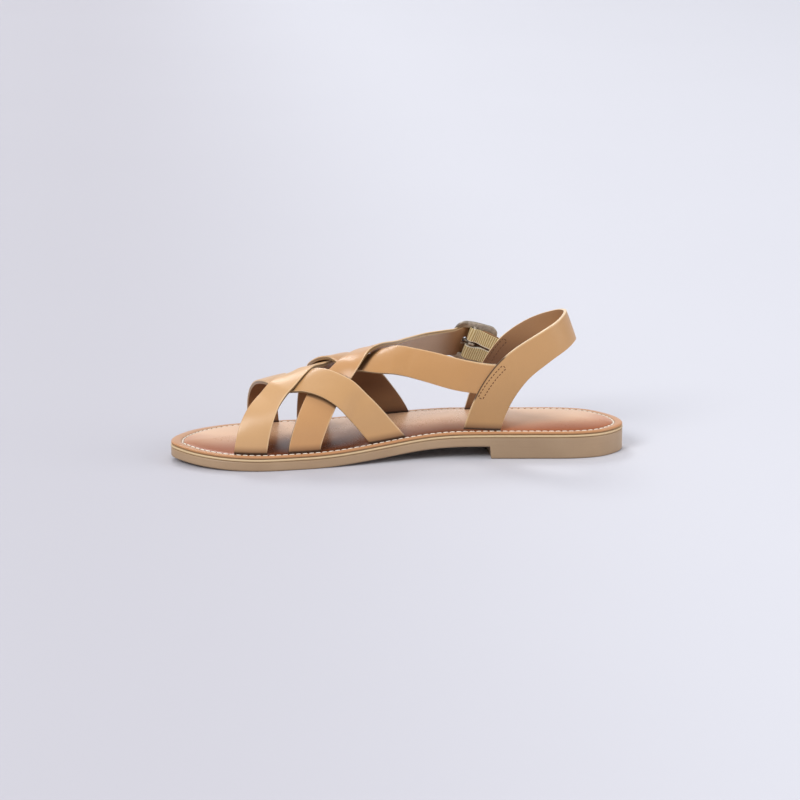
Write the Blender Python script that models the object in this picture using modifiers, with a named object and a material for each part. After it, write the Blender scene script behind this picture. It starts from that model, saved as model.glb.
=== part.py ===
"""Woven leather sandal for the right foot, as separate closed solids.

Frame: metres, +Z up, ground at Z = 0, toe towards -X, heel towards +X, inner side of the foot towards -Y.
The sole comes from one outline and one long profile. The four woven straps are laid on a virtual last,
the slingback on a virtual heel form, and the buckle and its elastic follow the strap that it closes.
All form sizes are in millimetres and are brought to metres when a mesh is made.
"""
import math
from collections import namedtuple

import bmesh
import bpy
import numpy as np
from mathutils import Matrix

MM = 0.001
OBJECT_NAME = "woven_sandal"
TOOLS_NAME = "woven_sandal_tools"

# Sole
SOLE_LENGTH = 252.0
HEEL_LIFT = 6.8
ARCH_FRONT = -52.0
ARCH_REAR = 38.0
SPRING_START = -74.0
TOE_SPRING = 2.5
OUTSOLE_THICKNESS = 5.2
OUTSOLE_CHAMFER = 0.8
HEEL_BREAST = 49.0
BREAST_DRAFT = 0.6
MIDSOLE_THICKNESS = 1.2
INSOLE_THICKNESS = 1.8
INSOLE_CROWN = 1.2
CROWN_MARGIN = 4.5
CROWN_BLEND = 10.0
LAYER_GAP = 0.3

# Straps
STRAP_THICKNESS = 2.0
STRAP_HALF_WIDTH = 8.0
STRAP_FLARE = 0.1
SLING_HALF_WIDTH = 8.5
SLING_FLARE = 0.16
STRAP_INSET = 5.8
STRAP_TUCK = 1.7
STRAP_LAP = 0.3
SEWN_LAP = 0.7
WEAVE_FULL = 8.8
WEAVE_NONE = 20.0
STRAP_ROWS = 40
STRAP_COLUMNS = 7
MEDIAL_LEAD = (30.0, 48.0)
LATERAL_LEAD = (40.0, 52.0)
TAIL_GAP = 0.8

# Heel form
HEEL_LEAN = 0.36
HEEL_LEAN_LEVEL = 71.0

# Buckle and elastic
BUCKLE_STATION = 44.5
BUCKLE_HALF_LENGTH = 13.0
BUCKLE_HALF_WIDTH = 10.9
BUCKLE_ROUNDNESS = 4.0
FRAME_RADIUS = 1.2
BAR_RADIUS = 1.1
BAR_LEVEL = 0.3
FRAME_MID_LEVEL = 1.9
FRAME_END_LEVEL = STRAP_THICKNESS + 0.5 + FRAME_RADIUS
STRAP_HUMP = 3.7
STRAP_HUMP_SPAN = 12.0
PRONG_RADIUS = 0.75
PRONG_HOLE = -2.5
PRONG_HOLE_RADIUS = 2.2
ELASTIC_THICKNESS = 1.1
ELASTIC_EDGES = (1.3, 8.3)
ELASTIC_SEWN = 24.0
SEWN_GAP = 0.5

OutlineRow = namedtuple("OutlineRow", "x medial lateral")
LastRow = namedtuple("LastRow", "x ridge ridge_y medial_bulge lateral_bulge")
HeelRow = namedtuple("HeelRow", "turn x y")
PathRow = namedtuple("PathRow", "first second")
Strap = namedtuple("Strap", "form path half_width flare over hump")

SOLE_OUTLINE = (
    OutlineRow(-126.0, -10.0, -10.0),
    OutlineRow(-121.5, -20.0, 5.5),
    OutlineRow(-111.0, -30.2, 20.3),
    OutlineRow(-95.0, -38.2, 32.0),
    OutlineRow(-77.0, -41.2, 38.2),
    OutlineRow(-55.0, -39.2, 41.1),
    OutlineRow(-35.0, -36.0, 41.0),
    OutlineRow(-12.0, -31.0, 38.6),
    OutlineRow(15.0, -25.6, 34.9),
    OutlineRow(42.0, -26.5, 32.6),
    OutlineRow(72.0, -29.2, 29.6),
    OutlineRow(97.0, -31.0, 26.6),
    OutlineRow(110.0, -28.4, 21.5),
    OutlineRow(121.0, -20.0, 9.0),
    OutlineRow(126.0, -8.0, -8.0),
)
LAST = (
    LastRow(-110.0, 28.0, -6.0, 2.0, 2.0),
    LastRow(-85.0, 37.2, -7.0, 2.6, 2.5),
    LastRow(-60.0, 44.0, -8.0, 2.4, 3.0),
    LastRow(-35.0, 51.0, -8.0, 2.2, 3.5),
    LastRow(-10.0, 57.0, -6.0, 2.0, 3.5),
    LastRow(15.0, 65.0, -2.0, 1.8, 3.6),
    LastRow(36.0, 72.0, 2.0, 2.8, 5.5),
    LastRow(60.0, 82.0, 2.0, 3.5, 7.0),
    LastRow(90.0, 95.0, 2.0, 3.5, 7.0),
)
HEEL_FORM = (
    HeelRow(-1.0, 40.0, -19.4),
    HeelRow(-0.8, 50.0, -21.6),
    HeelRow(-0.6, 62.0, -24.0),
    HeelRow(-0.4, 76.0, -23.2),
    HeelRow(-0.2, 88.8, -15.2),
    HeelRow(0.0, 95.4, -0.5),
    HeelRow(0.2, 91.8, 14.5),
    HeelRow(0.4, 80.5, 24.2),
    HeelRow(0.6, 67.0, 27.4),
    HeelRow(0.8, 55.0, 26.4),
    HeelRow(1.0, 44.0, 25.0),
)
# Centre lines on the last as station x and girth fraction, 0 at the inner edge of the sole and 1 at the outer.
FRONT_INNER_PATH = (
    PathRow(-84.0, -0.12), PathRow(-83.2, 0.04), PathRow(-80.2, 0.18), PathRow(-74.2, 0.305),
    PathRow(-63.0, 0.415), PathRow(-49.8, 0.53), PathRow(-34.5, 0.655), PathRow(-19.0, 0.78),
    PathRow(-7.0, 0.91), PathRow(2.2, 1.02), PathRow(7.0, 1.12),
)
REAR_INNER_PATH = (
    PathRow(-55.0, -0.13), PathRow(-53.8, 0.035), PathRow(-49.0, 0.152), PathRow(-41.0, 0.28),
    PathRow(-31.0, 0.405), PathRow(-18.5, 0.515), PathRow(1.0, 0.622), PathRow(21.0, 0.715),
    PathRow(42.0, 0.772), PathRow(58.0, 0.82), PathRow(72.0, 0.868),
)
FRONT_OUTER_PATH = (
    PathRow(4.0, -0.11), PathRow(-10.0, 0.02), PathRow(-22.5, 0.145), PathRow(-34.5, 0.26),
    PathRow(-46.0, 0.345), PathRow(-58.0, 0.42), PathRow(-67.0, 0.535), PathRow(-72.8, 0.70),
    PathRow(-73.6, 0.86), PathRow(-72.0, 1.02), PathRow(-70.0, 1.12),
)
REAR_OUTER_PATH = (
    PathRow(60.0, 0.136), PathRow(46.0, 0.157), PathRow(29.0, 0.199), PathRow(12.0, 0.270),
    PathRow(-2.0, 0.351), PathRow(-15.0, 0.425), PathRow(-26.0, 0.53), PathRow(-38.5, 0.66),
    PathRow(-43.0, 0.80), PathRow(-44.4, 0.94), PathRow(-44.2, 1.12),
)
# Centre line on the heel form as turn and height.
SLING_PATH = (
    PathRow(-0.95, 4.0), PathRow(-0.89, 16.0), PathRow(-0.72, 39.0), PathRow(-0.5, 55.6),
    PathRow(-0.26, 65.6), PathRow(0.0, 69.0), PathRow(0.24, 65.2), PathRow(0.5, 55.0),
    PathRow(0.71, 39.0), PathRow(0.86, 16.0), PathRow(0.91, 4.0),
)


def smooth_step(value):
    """Goes from 0 to 1 without corners while the value goes from 0 to 1."""
    value = np.clip(value, 0.0, 1.0)
    return value * value * (3.0 - 2.0 * value)


def smooth_curve(keys, values, at):
    """Cubic curve through the values at the keys, with slopes taken from the neighbouring rows."""
    keys = np.asarray(keys, float)
    values = np.asarray(values, float)
    at = np.asarray(at, float)
    gaps = np.diff(keys)
    steps = np.diff(values) / gaps
    slopes = np.empty_like(values)
    slopes[0] = steps[0]
    slopes[-1] = steps[-1]
    slopes[1:-1] = (steps[:-1] * gaps[1:] + steps[1:] * gaps[:-1]) / (gaps[:-1] + gaps[1:])
    row = np.clip(np.searchsorted(keys, at) - 1, 0, len(keys) - 2)
    part = (at - keys[row]) / gaps[row]
    rest = 1.0 - part
    start = (1.0 + 2.0 * part) * rest * rest * values[row] + part * rest * rest * gaps[row] * slopes[row]
    end = part * part * (3.0 - 2.0 * part) * values[row + 1]
    return start + end - part * part * rest * gaps[row] * slopes[row + 1]


def column(table, name, key, at):
    """Reads one named column of a table as a smooth curve over its key column."""
    return smooth_curve([getattr(row, key) for row in table], [getattr(row, name) for row in table], at)


def length_phase(x):
    """Turns a station into an angle fraction, so that the round toe and heel stay smooth."""
    return np.arccos(np.clip(-2.0 * np.asarray(x, float) / SOLE_LENGTH, -1.0, 1.0)) / math.pi


def sole_edge(x, side):
    """Y of the sole's edge on the named side at station x."""
    phases = [float(length_phase(row.x)) for row in SOLE_OUTLINE]
    return smooth_curve(phases, [getattr(row, side) for row in SOLE_OUTLINE], length_phase(x))


def sheet_bottom(x):
    """Underside of the outsole sheet: flat under the ball, raised at the toe and over the arch."""
    x = np.asarray(x, float)
    arch = HEEL_LIFT * smooth_step((x - ARCH_FRONT) / (ARCH_REAR - ARCH_FRONT))
    spring = np.clip((SPRING_START - x) / (SOLE_LENGTH / 2 + SPRING_START), 0.0, None)
    return arch + TOE_SPRING * spring ** 2


def midsole_bottom(x):
    """Underside of the midsole, a layer gap above the outsole."""
    return sheet_bottom(x) + OUTSOLE_THICKNESS + LAYER_GAP


def insole_bottom(x):
    """Underside of the insole, a layer gap above the midsole."""
    return midsole_bottom(x) + MIDSOLE_THICKNESS + LAYER_GAP


def insole_top(x):
    """Top of the insole at its edge."""
    return insole_bottom(x) + INSOLE_THICKNESS


def fore_form(x, girth):
    """Point of the last at a station and girth fraction; it goes straight down below the insole."""
    x = np.asarray(x, float)
    girth = np.asarray(girth, float)
    floor = insole_top(x)
    height = column(LAST, "ridge", "x", x) - floor
    ridge_y = column(LAST, "ridge_y", "x", x)
    angle = math.pi * np.clip(girth, 0.0, 1.0)
    medial = ridge_y - sole_edge(x, "medial") - STRAP_INSET
    lateral = sole_edge(x, "lateral") - STRAP_INSET - ridge_y
    share = smooth_step((girth - 0.3) / 0.4)
    reach = medial + (lateral - medial) * share
    medial_bulge = column(LAST, "medial_bulge", "x", x)
    lateral_bulge = column(LAST, "lateral_bulge", "x", x)
    bulge = medial_bulge + (lateral_bulge - medial_bulge) * share
    below = np.maximum(np.maximum(-girth, girth - 1.0), 0.0)
    y = ridge_y - reach * np.cos(angle) - bulge * np.sin(2.0 * angle)
    z = floor + height * (np.sin(angle) - math.pi * below)
    return np.stack([x, y, z], -1)


def heel_form(turn, z):
    """Point of the heel form: turn -1 in front on the inner side, 0 at the back, 1 in front on the outer side."""
    turn = np.asarray(turn, float)
    z = np.asarray(z, float)
    lean = HEEL_LEAN * np.cos(np.clip(turn * 1.6, -1.0, 1.0) * math.pi / 2) ** 2
    x = column(HEEL_FORM, "x", "turn", turn) - lean * (z - HEEL_LEAN_LEVEL)
    return np.stack([x, column(HEEL_FORM, "y", "turn", turn), z], -1)


def sling_wall(x, side):
    """Y of the slingback leg's inner face at station x."""
    if side < 0:
        rows = [row for row in HEEL_FORM if row.turn <= -0.4]
    else:
        rows = [row for row in reversed(HEEL_FORM) if row.turn >= 0.4]
    return column(rows, "y", "x", x)


def led_form(x, girth, side, lead, shift):
    """The last, led over a stretch of stations to the slingback leg's wall plus a shift."""
    points = fore_form(x, girth)
    share = smooth_step((points[..., 0] - lead[0]) / (lead[1] - lead[0]))
    target = sling_wall(points[..., 0], side) + shift
    points[..., 1] = (1.0 - share) * points[..., 1] + share * target
    return points


def inner_led_form(x, girth):
    """Form of the strap that is sewn inside the slingback's inner leg."""
    return led_form(x, girth, -1, MEDIAL_LEAD, STRAP_THICKNESS - SEWN_LAP)


def outer_led_form(x, girth):
    """Form of the buckle strap, whose tail lies outside the slingback's outer leg."""
    return led_form(x, girth, 1, LATERAL_LEAD, STRAP_THICKNESS + TAIL_GAP)


STRAPS = {
    "front_inner": Strap(fore_form, FRONT_INNER_PATH, STRAP_HALF_WIDTH, STRAP_FLARE, "front_outer", False),
    "rear_inner": Strap(outer_led_form, REAR_INNER_PATH, STRAP_HALF_WIDTH, STRAP_FLARE, "rear_outer", True),
    "front_outer": Strap(fore_form, FRONT_OUTER_PATH, STRAP_HALF_WIDTH, STRAP_FLARE, "rear_inner", False),
    "rear_outer": Strap(inner_led_form, REAR_OUTER_PATH, STRAP_HALF_WIDTH, STRAP_FLARE, "front_inner", False),
    "slingback": Strap(heel_form, SLING_PATH, SLING_HALF_WIDTH, SLING_FLARE, "", False),
}
STRAP_FEET = (
    ("front_inner", 1), ("front_inner", -1), ("rear_inner", 1), ("front_outer", 1),
    ("front_outer", -1), ("rear_outer", -1), ("slingback", 1), ("slingback", -1),
)


def form_frame(strap, first, second):
    """Point, two surface slopes and outward normal of a strap's form."""
    form = strap.form
    on_heel = form is heel_form
    first_step = 0.001 if on_heel else 0.02
    second_step = 0.02 if on_heel else 0.001
    point = form(first, second)
    along = (form(first + first_step, second) - form(first - first_step, second)) / (2 * first_step)
    across = (form(first, second + second_step) - form(first, second - second_step)) / (2 * second_step)
    normal = np.cross(along, across)
    return point, along, across, normal / np.linalg.norm(normal, axis=-1, keepdims=True)


def centre_line(strap, distance):
    """Form coordinates on the strap's centre line at a distance from its first row."""
    first = np.array([row.first for row in strap.path])
    second = np.array([row.second for row in strap.path])
    chords = np.linalg.norm(np.diff(strap.form(first, second), axis=0), axis=1)
    keys = np.concatenate([[0.0], np.cumsum(chords)])
    return smooth_curve(keys, first, distance), smooth_curve(keys, second, distance)


def path_length(strap):
    """Length of the strap's centre line, measured through its rows."""
    first = np.array([row.first for row in strap.path])
    second = np.array([row.second for row in strap.path])
    return float(np.linalg.norm(np.diff(strap.form(first, second), axis=0), axis=1).sum())


def lay_strap(strap, distance, offset):
    """Form coordinates at distances along the strap and offsets to the side, walked over the form."""
    distance, offset = np.broadcast_arrays(np.asarray(distance, float), np.asarray(offset, float))
    first, second = centre_line(strap, distance)
    ahead = strap.form(*centre_line(strap, distance + 0.5))
    behind = strap.form(*centre_line(strap, distance - 0.5))
    tangent = ahead - behind
    from_middle = np.abs(2.0 * distance / path_length(strap) - 1.0)
    offset = offset * (1.0 + strap.flare * smooth_step(from_middle))
    walk_steps = 6
    for _ in range(walk_steps):
        _, along, across, normal = form_frame(strap, first, second)
        side = np.cross(normal, tangent)
        side = side / np.linalg.norm(side, axis=-1, keepdims=True) * (offset / walk_steps)[..., None]
        along_along = (along * along).sum(-1)
        along_across = (along * across).sum(-1)
        across_across = (across * across).sum(-1)
        side_along = (side * along).sum(-1)
        side_across = (side * across).sum(-1)
        area = along_along * across_across - along_across ** 2
        first = first + (across_across * side_along - along_across * side_across) / area
        second = second + (along_along * side_across - along_across * side_along) / area
    return first, second


def strap_ends(strap, offsets, depth):
    """Distances where each line along the strap starts and stops, a depth below the insole or at a free end."""
    samples = np.linspace(0.0, path_length(strap), 321)
    first, second = lay_strap(strap, samples[:, None], offsets[None, :])
    points = strap.form(first, second)
    height = points[..., 2] - insole_top(points[..., 0]) + depth
    starts = []
    stops = []
    for line in height.T:
        inside = np.nonzero(line > 0.0)[0]
        low = inside[0]
        high = inside[-1]
        start = samples[low]
        stop = samples[high]
        if low > 0:
            start -= (samples[1] - samples[0]) * line[low] / (line[low] - line[low - 1])
        if high < len(samples) - 1:
            stop += (samples[1] - samples[0]) * line[high] / (line[high] - line[high + 1])
        starts.append(start)
        stops.append(stop)
    return np.array(starts), np.array(stops)


def bar_distance():
    """Distance along the buckle strap at which the buckle's bar lies."""
    strap = STRAPS["rear_inner"]
    samples = np.linspace(0.0, path_length(strap), 321)
    stations, _ = centre_line(strap, samples)
    return float(np.interp(BUCKLE_STATION, stations, samples))


def weave_lift(strap, points):
    """Height by which a strap rises over the strap that it crosses on the outside."""
    if not strap.over:
        return np.zeros(points.shape[:-1])
    under = STRAPS[strap.over]
    line = under.form(*centre_line(under, np.linspace(0.0, path_length(under), 161)))
    distance = np.sqrt(((points[..., None, :] - line) ** 2).sum(-1)).min(-1)
    share = smooth_step((distance - WEAVE_FULL) / (WEAVE_NONE - WEAVE_FULL))
    return (STRAP_THICKNESS - STRAP_LAP) * (1.0 - share)


def strap_surface(name, distance, offset):
    """Inner face of a strap and its outward normal, with the rise over crossings and over the bar."""
    strap = STRAPS[name]
    first, second = lay_strap(strap, distance, offset)
    points, _, _, normal = form_frame(strap, first, second)
    lift = weave_lift(strap, points)
    if strap.hump:
        lift = lift + STRAP_HUMP * (1.0 - smooth_step(np.abs(distance - bar_distance()) / STRAP_HUMP_SPAN))
    return points + normal * lift[..., None], normal


def buckle_point(along, across, level):
    """Point beside the buckle bar: along the strap, across it, and out from the strap's resting inner face."""
    strap = STRAPS["rear_inner"]
    along, across, level = np.broadcast_arrays(*(np.asarray(v, float) for v in (along, across, level)))
    first, second = lay_strap(strap, bar_distance() + along, across)
    points, _, _, normal = form_frame(strap, first, second)
    return points + normal * level[..., None], normal


def clear_scene():
    """Removes every object and the two collections of an earlier run."""
    for item in list(bpy.data.objects):
        bpy.data.objects.remove(item, do_unlink=True)
    for name in (OBJECT_NAME, TOOLS_NAME):
        old = bpy.data.collections.get(name)
        if old:
            bpy.data.collections.remove(old)


def new_collection(name):
    """Adds a collection to the scene."""
    made = bpy.data.collections.new(name)
    bpy.context.scene.collection.children.link(made)
    return made


def new_object(name, collection, points, faces):
    """Makes a mesh object from points in millimetres, with its faces turned outwards."""
    work = bmesh.new()
    corners = [work.verts.new(tuple(float(v) * MM for v in point)) for point in points]
    for face in faces:
        work.faces.new([corners[index] for index in face])
    bmesh.ops.recalc_face_normals(work, faces=work.faces)
    mesh = bpy.data.meshes.new(name)
    work.to_mesh(mesh)
    work.free()
    made = bpy.data.objects.new(name, mesh)
    collection.objects.link(made)
    return made


def grid_faces(rows, columns, first=0, flip=False):
    """Quads of a rows by columns grid whose points start at an index."""
    faces = []
    for row in range(rows - 1):
        for place in range(columns - 1):
            corner = first + row * columns + place
            face = (corner, corner + 1, corner + columns + 1, corner + columns)
            faces.append(face[::-1] if flip else face)
    return faces


def rim_indices(rows, columns):
    """Indices round the edge of a rows by columns grid, in order."""
    rim = list(range(columns))
    rim += [row * columns + columns - 1 for row in range(1, rows)]
    rim += [(rows - 1) * columns + place for place in range(columns - 2, -1, -1)]
    rim += [row * columns for row in range(rows - 2, 0, -1)]
    return rim


def slab(name, collection, plan, lower, upper, chamfer=0.0):
    """Closed sheet over a plan grid between two heights, with an optional chamfer on its lower edge."""
    rows, columns = lower.shape
    count = rows * columns
    rim = rim_indices(rows, columns)
    top = np.dstack([plan, upper]).reshape(-1, 3)
    bottom = np.dstack([plan, lower]).reshape(-1, 3)
    points = [*top, *bottom]
    faces = grid_faces(rows, columns) + grid_faces(rows, columns, count, True)
    rings = [rim]
    if chamfer:
        centre = top[:, :2].mean(axis=0)
        rings.append(list(range(2 * count, 2 * count + len(rim))))
        for index in rim:
            inward = centre - bottom[index, :2]
            inward[0] *= abs(inward[0]) / np.linalg.norm(inward)
            points.append(bottom[index] + np.array([0.0, 0.0, chamfer]))
            points[count + index] = bottom[index] + chamfer * np.append(inward / np.linalg.norm(inward), 0.0)
    rings.append([count + index for index in rim])
    for above, under in zip(rings, rings[1:]):
        for place in range(len(rim)):
            after = (place + 1) % len(rim)
            faces.append((above[place], under[place], under[after], above[after]))
    return new_object(name, collection, points, faces)


def sheet_object(name, collection, grid):
    """Open sheet through a grid of points, to be thickened."""
    rows, columns, _ = grid.shape
    return new_object(name, collection, grid.reshape(-1, 3), grid_faces(rows, columns))


def sweep(name, collection, path, normals, half_wide, half_high, sides, closed):
    """Bar of elliptic section along a path, set up by the normals."""
    count = len(path)
    if closed:
        tangents = np.roll(path, -1, axis=0) - np.roll(path, 1, axis=0)
    else:
        tangents = np.gradient(path, axis=0)
    across = np.cross(tangents, normals)
    across /= np.linalg.norm(across, axis=1, keepdims=True)
    upright = np.cross(across, tangents)
    upright /= np.linalg.norm(upright, axis=1, keepdims=True)
    angles = 2.0 * math.pi * np.arange(sides) / sides
    points = []
    for centre, wide, high in zip(path, across, upright):
        points += [centre + half_wide * math.cos(a) * wide + half_high * math.sin(a) * high for a in angles]
    faces = []
    for ring in range(count if closed else count - 1):
        after = (ring + 1) % count
        for place in range(sides):
            beside = (place + 1) % sides
            low = (ring * sides + place, ring * sides + beside)
            faces.append((*low, after * sides + beside, after * sides + place))
    if not closed:
        faces.append(tuple(range(sides)))
        faces.append(tuple((count - 1) * sides + place for place in range(sides)))
    return new_object(name, collection, points, faces)


def thicken(item, thickness, offset, outward):
    """Adds a Solidify modifier after turning the sheet's faces to the given outward side."""
    mesh = item.data
    face = mesh.polygons[len(mesh.polygons) // 2]
    if np.dot(np.array(face.normal), outward) < 0.0:
        mesh.flip_normals()
    wall = item.modifiers.new("wall", "SOLIDIFY")
    wall.thickness = thickness * MM
    wall.offset = offset
    wall.use_even_offset = False
    return item


def combine(item, tool, operation):
    """Adds an exact Boolean with a tool object."""
    step = item.modifiers.new(tool.name, "BOOLEAN")
    step.operation = operation
    step.object = tool
    step.solver = "EXACT"


def middle_normal(normals):
    """Normal at the middle face of a grid of normals."""
    rows, columns, _ = normals.shape
    place = ((rows - 1) * (columns - 1)) // 2
    return normals[place // (columns - 1), place % (columns - 1)]


def sole_plan(stations, shares):
    """Plan grid of the sole: stations along it and shares across it from -1 to 1."""
    medial = sole_edge(stations, "medial")[:, None]
    lateral = sole_edge(stations, "lateral")[:, None]
    y = (medial + lateral) / 2 + shares[None, :] * (lateral - medial) / 2
    x = np.repeat(stations[:, None], len(shares), axis=1)
    return np.dstack([x, y])


def sole_stations(count):
    """Stations closer together at the round toe and heel, and never quite at the tips."""
    phases = np.linspace(0.0, 1.0, count)
    phases = np.clip(phases, 0.008, 0.992)
    return -SOLE_LENGTH / 2 * np.cos(math.pi * phases) / math.cos(math.pi * 0.008)


def build_outsole(collection):
    """Rubber unit: sheet with toe spring and arch, and the heel block with its upright breast."""
    stations = sole_stations(46)
    breast = np.array([HEEL_BREAST, HEEL_BREAST + BREAST_DRAFT])
    clear = np.abs(stations[:, None] - breast).min(axis=1) > 1.5
    stations = np.sort(np.concatenate([stations[clear], breast]))
    plan = sole_plan(stations, np.array([-1.0, -0.8, -0.45, 0.0, 0.45, 0.8, 1.0]))
    bottom = np.where(stations > HEEL_BREAST + BREAST_DRAFT / 2, 0.0, sheet_bottom(stations))
    lower = np.repeat(bottom[:, None], 7, axis=1)
    upper = np.repeat((sheet_bottom(stations) + OUTSOLE_THICKNESS)[:, None], 7, axis=1)
    return slab("outsole", collection, plan, lower, upper, OUTSOLE_CHAMFER)


def build_midsole(collection):
    """Thin layer that shows as a line between outsole and insole."""
    stations = sole_stations(46)
    plan = sole_plan(stations, np.array([-1.0, -0.5, 0.0, 0.5, 1.0]))
    lower = np.repeat(midsole_bottom(stations)[:, None], 5, axis=1)
    return slab("midsole", collection, plan, lower, lower + MIDSOLE_THICKNESS)


def build_insole(collection, tools):
    """Footbed with a low padded crown and a slot for each strap end."""
    stations = sole_stations(46)
    shares = np.array([-1.0, -0.88, -0.75, -0.55, -0.28, 0.0, 0.28, 0.55, 0.75, 0.88, 1.0])
    plan = sole_plan(stations, shares)
    half = (sole_edge(stations, "lateral") - sole_edge(stations, "medial"))[:, None] / 2
    from_side = half * (1.0 - np.abs(shares))[None, :]
    from_end = (SOLE_LENGTH / 2 - np.abs(stations))[:, None]
    margin = np.minimum(from_side, from_end)
    lower = np.repeat(insole_bottom(stations)[:, None], len(shares), axis=1)
    crown = INSOLE_CROWN * smooth_step((margin - CROWN_MARGIN) / CROWN_BLEND)
    insole = slab("insole", collection, plan, lower, lower + INSOLE_THICKNESS + crown)
    for name, end in STRAP_FEET:
        combine(insole, slot_cutter(name, end, tools), "DIFFERENCE")
    return insole


def slot_cutter(name, end, tools):
    """Slightly oversize piece of a strap's end, to cut its slot in the insole."""
    strap = STRAPS[name]
    offsets = np.linspace(-1.0, 1.0, 5) * (strap.half_width + LAYER_GAP)
    starts, stops = strap_ends(strap, offsets, 6.0)
    walk = np.linspace(0.0, 14.0, 6)[:, None]
    distance = starts[None, :] + walk if end > 0 else stops[None, :] - walk
    points, normals = strap_surface(name, distance, np.broadcast_to(offsets, distance.shape))
    grid = points - normals * LAYER_GAP
    cutter = sheet_object("slot_" + name + ("_start" if end > 0 else "_stop"), tools, grid)
    return thicken(cutter, STRAP_THICKNESS + 2 * LAYER_GAP, 1.0, middle_normal(normals))


def build_strap(name, collection):
    """One strap as a sheet of real thickness."""
    strap = STRAPS[name]
    offsets = np.linspace(-1.0, 1.0, STRAP_COLUMNS) * strap.half_width
    starts, stops = strap_ends(strap, offsets, STRAP_TUCK)
    share = np.linspace(0.0, 1.0, STRAP_ROWS)[:, None]
    distance = starts[None, :] * (1.0 - share) + stops[None, :] * share
    points, normals = strap_surface(name, distance, np.broadcast_to(offsets, distance.shape))
    made = sheet_object(name, collection, points)
    return thicken(made, STRAP_THICKNESS, 1.0, middle_normal(normals))


def build_upper(collection, tools):
    """All five straps as one solid, joined where they cross or are sewn, with the hole for the prong."""
    upper = build_strap("front_inner", collection)
    upper.name = "upper"
    for name in ("rear_inner", "front_outer", "rear_outer", "slingback"):
        combine(upper, build_strap(name, tools), "UNION")
    combine(upper, prong_hole(tools), "DIFFERENCE")
    return upper


def prong_hole(tools):
    """Round cutter through the buckle strap where the prong comes out."""
    point, normal = buckle_point(PRONG_HOLE, 0.0, STRAP_HUMP + STRAP_THICKNESS / 2)
    work = bmesh.new()
    turn = np.array([0.0, 0.0, 1.0])
    side = np.cross(turn, normal)
    side /= np.linalg.norm(side)
    above = np.cross(normal, side)
    basis = Matrix([[*row, 0.0] for row in np.column_stack([side, above, normal])] + [[0.0, 0.0, 0.0, 1.0]])
    place = Matrix.Translation(tuple(point * MM)) @ basis
    bmesh.ops.create_cone(
        work, cap_ends=True, segments=16, radius1=PRONG_HOLE_RADIUS * MM, radius2=PRONG_HOLE_RADIUS * MM,
        depth=7.0 * MM, matrix=place,
    )
    mesh = bpy.data.meshes.new("prong_hole")
    work.to_mesh(mesh)
    work.free()
    made = bpy.data.objects.new("prong_hole", mesh)
    tools.objects.link(made)
    return made


def build_buckle_frame(collection, tools):
    """Rounded frame that dips to its cross bar and stands over the strap at both ends."""
    angles = 2.0 * math.pi * np.arange(44) / 44
    power = 2.0 / BUCKLE_ROUNDNESS
    along = BUCKLE_HALF_LENGTH * np.sign(np.cos(angles)) * np.abs(np.cos(angles)) ** power
    across = BUCKLE_HALF_WIDTH * np.sign(np.sin(angles)) * np.abs(np.sin(angles)) ** power
    share = smooth_step(np.abs(along) / BUCKLE_HALF_LENGTH)
    path, normals = buckle_point(along, across, FRAME_MID_LEVEL + (FRAME_END_LEVEL - FRAME_MID_LEVEL) * share)
    frame = sweep("buckle_frame", collection, path, normals, FRAME_RADIUS, FRAME_RADIUS, 10, True)
    path, normals = buckle_point(0.0, np.linspace(-1.0, 1.0, 7) * BUCKLE_HALF_WIDTH, BAR_LEVEL)
    bar = sweep("buckle_bar", tools, path, normals, BAR_RADIUS, BAR_RADIUS, 10, False)
    combine(frame, bar, "UNION")
    return frame


def build_buckle_prong(collection):
    """Pin hooked round the bar, out through the strap and on to the front end of the frame."""
    hook = BAR_RADIUS + LAYER_GAP + PRONG_RADIUS
    angles = np.radians(np.linspace(-135.0, 90.0, 10))
    along = [*(hook * np.cos(angles)), -1.6, -3.2, -5.2, -9.0, -13.8]
    rest = FRAME_END_LEVEL + FRAME_RADIUS + LAYER_GAP + PRONG_RADIUS
    level = [*(BAR_LEVEL + hook * np.sin(angles)), 3.1, 4.8, rest - 0.2, rest + 0.2, rest]
    path, _ = buckle_point(along, 0.0, level)
    sideways, _ = buckle_point(along, 1.0, level)
    return sweep("buckle_prong", collection, path, sideways - path, PRONG_RADIUS, PRONG_RADIUS, 8, False)


def build_elastic(name, side, collection):
    """Band sewn inside the slingback's outer leg, led forward, round the bar and back on itself."""
    loop = BAR_RADIUS + LAYER_GAP + ELASTIC_THICKNESS / 2
    sewn_level = -TAIL_GAP - STRAP_THICKNESS - SEWN_GAP - ELASTIC_THICKNESS / 2
    run = np.linspace(ELASTIC_SEWN, 1.0, 12)
    run_level = BAR_LEVEL - loop + (sewn_level - BAR_LEVEL + loop) * smooth_step((run - 1.5) / 6.5)
    angles = np.radians(np.linspace(-90.0, -270.0, 10))
    along = [*run, *(loop * np.cos(angles)), 2.0, 4.0, 6.0, 8.0]
    level = [*run_level, *(BAR_LEVEL + loop * np.sin(angles)), 1.9, 1.3, 0.5, -0.3]
    across = side * np.linspace(ELASTIC_EDGES[0], ELASTIC_EDGES[1], 4)
    grid, _ = buckle_point(np.array(along)[:, None], across[None, :], np.array(level)[:, None])
    band = sheet_object(name, collection, grid)
    return thicken(band, ELASTIC_THICKNESS, 0.0, np.array([0.0, -1.0, 0.0]))


def give_material(item, name, colour, roughness, metallic=0.0):
    """Gives an object its own Principled material."""
    made = bpy.data.materials.new(name)
    made.use_nodes = True
    shader = made.node_tree.nodes["Principled BSDF"]
    shader.inputs["Base Color"].default_value = (*colour, 1.0)
    shader.inputs["Roughness"].default_value = roughness
    shader.inputs["Metallic"].default_value = metallic
    item.data.materials.clear()
    item.data.materials.append(made)


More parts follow.
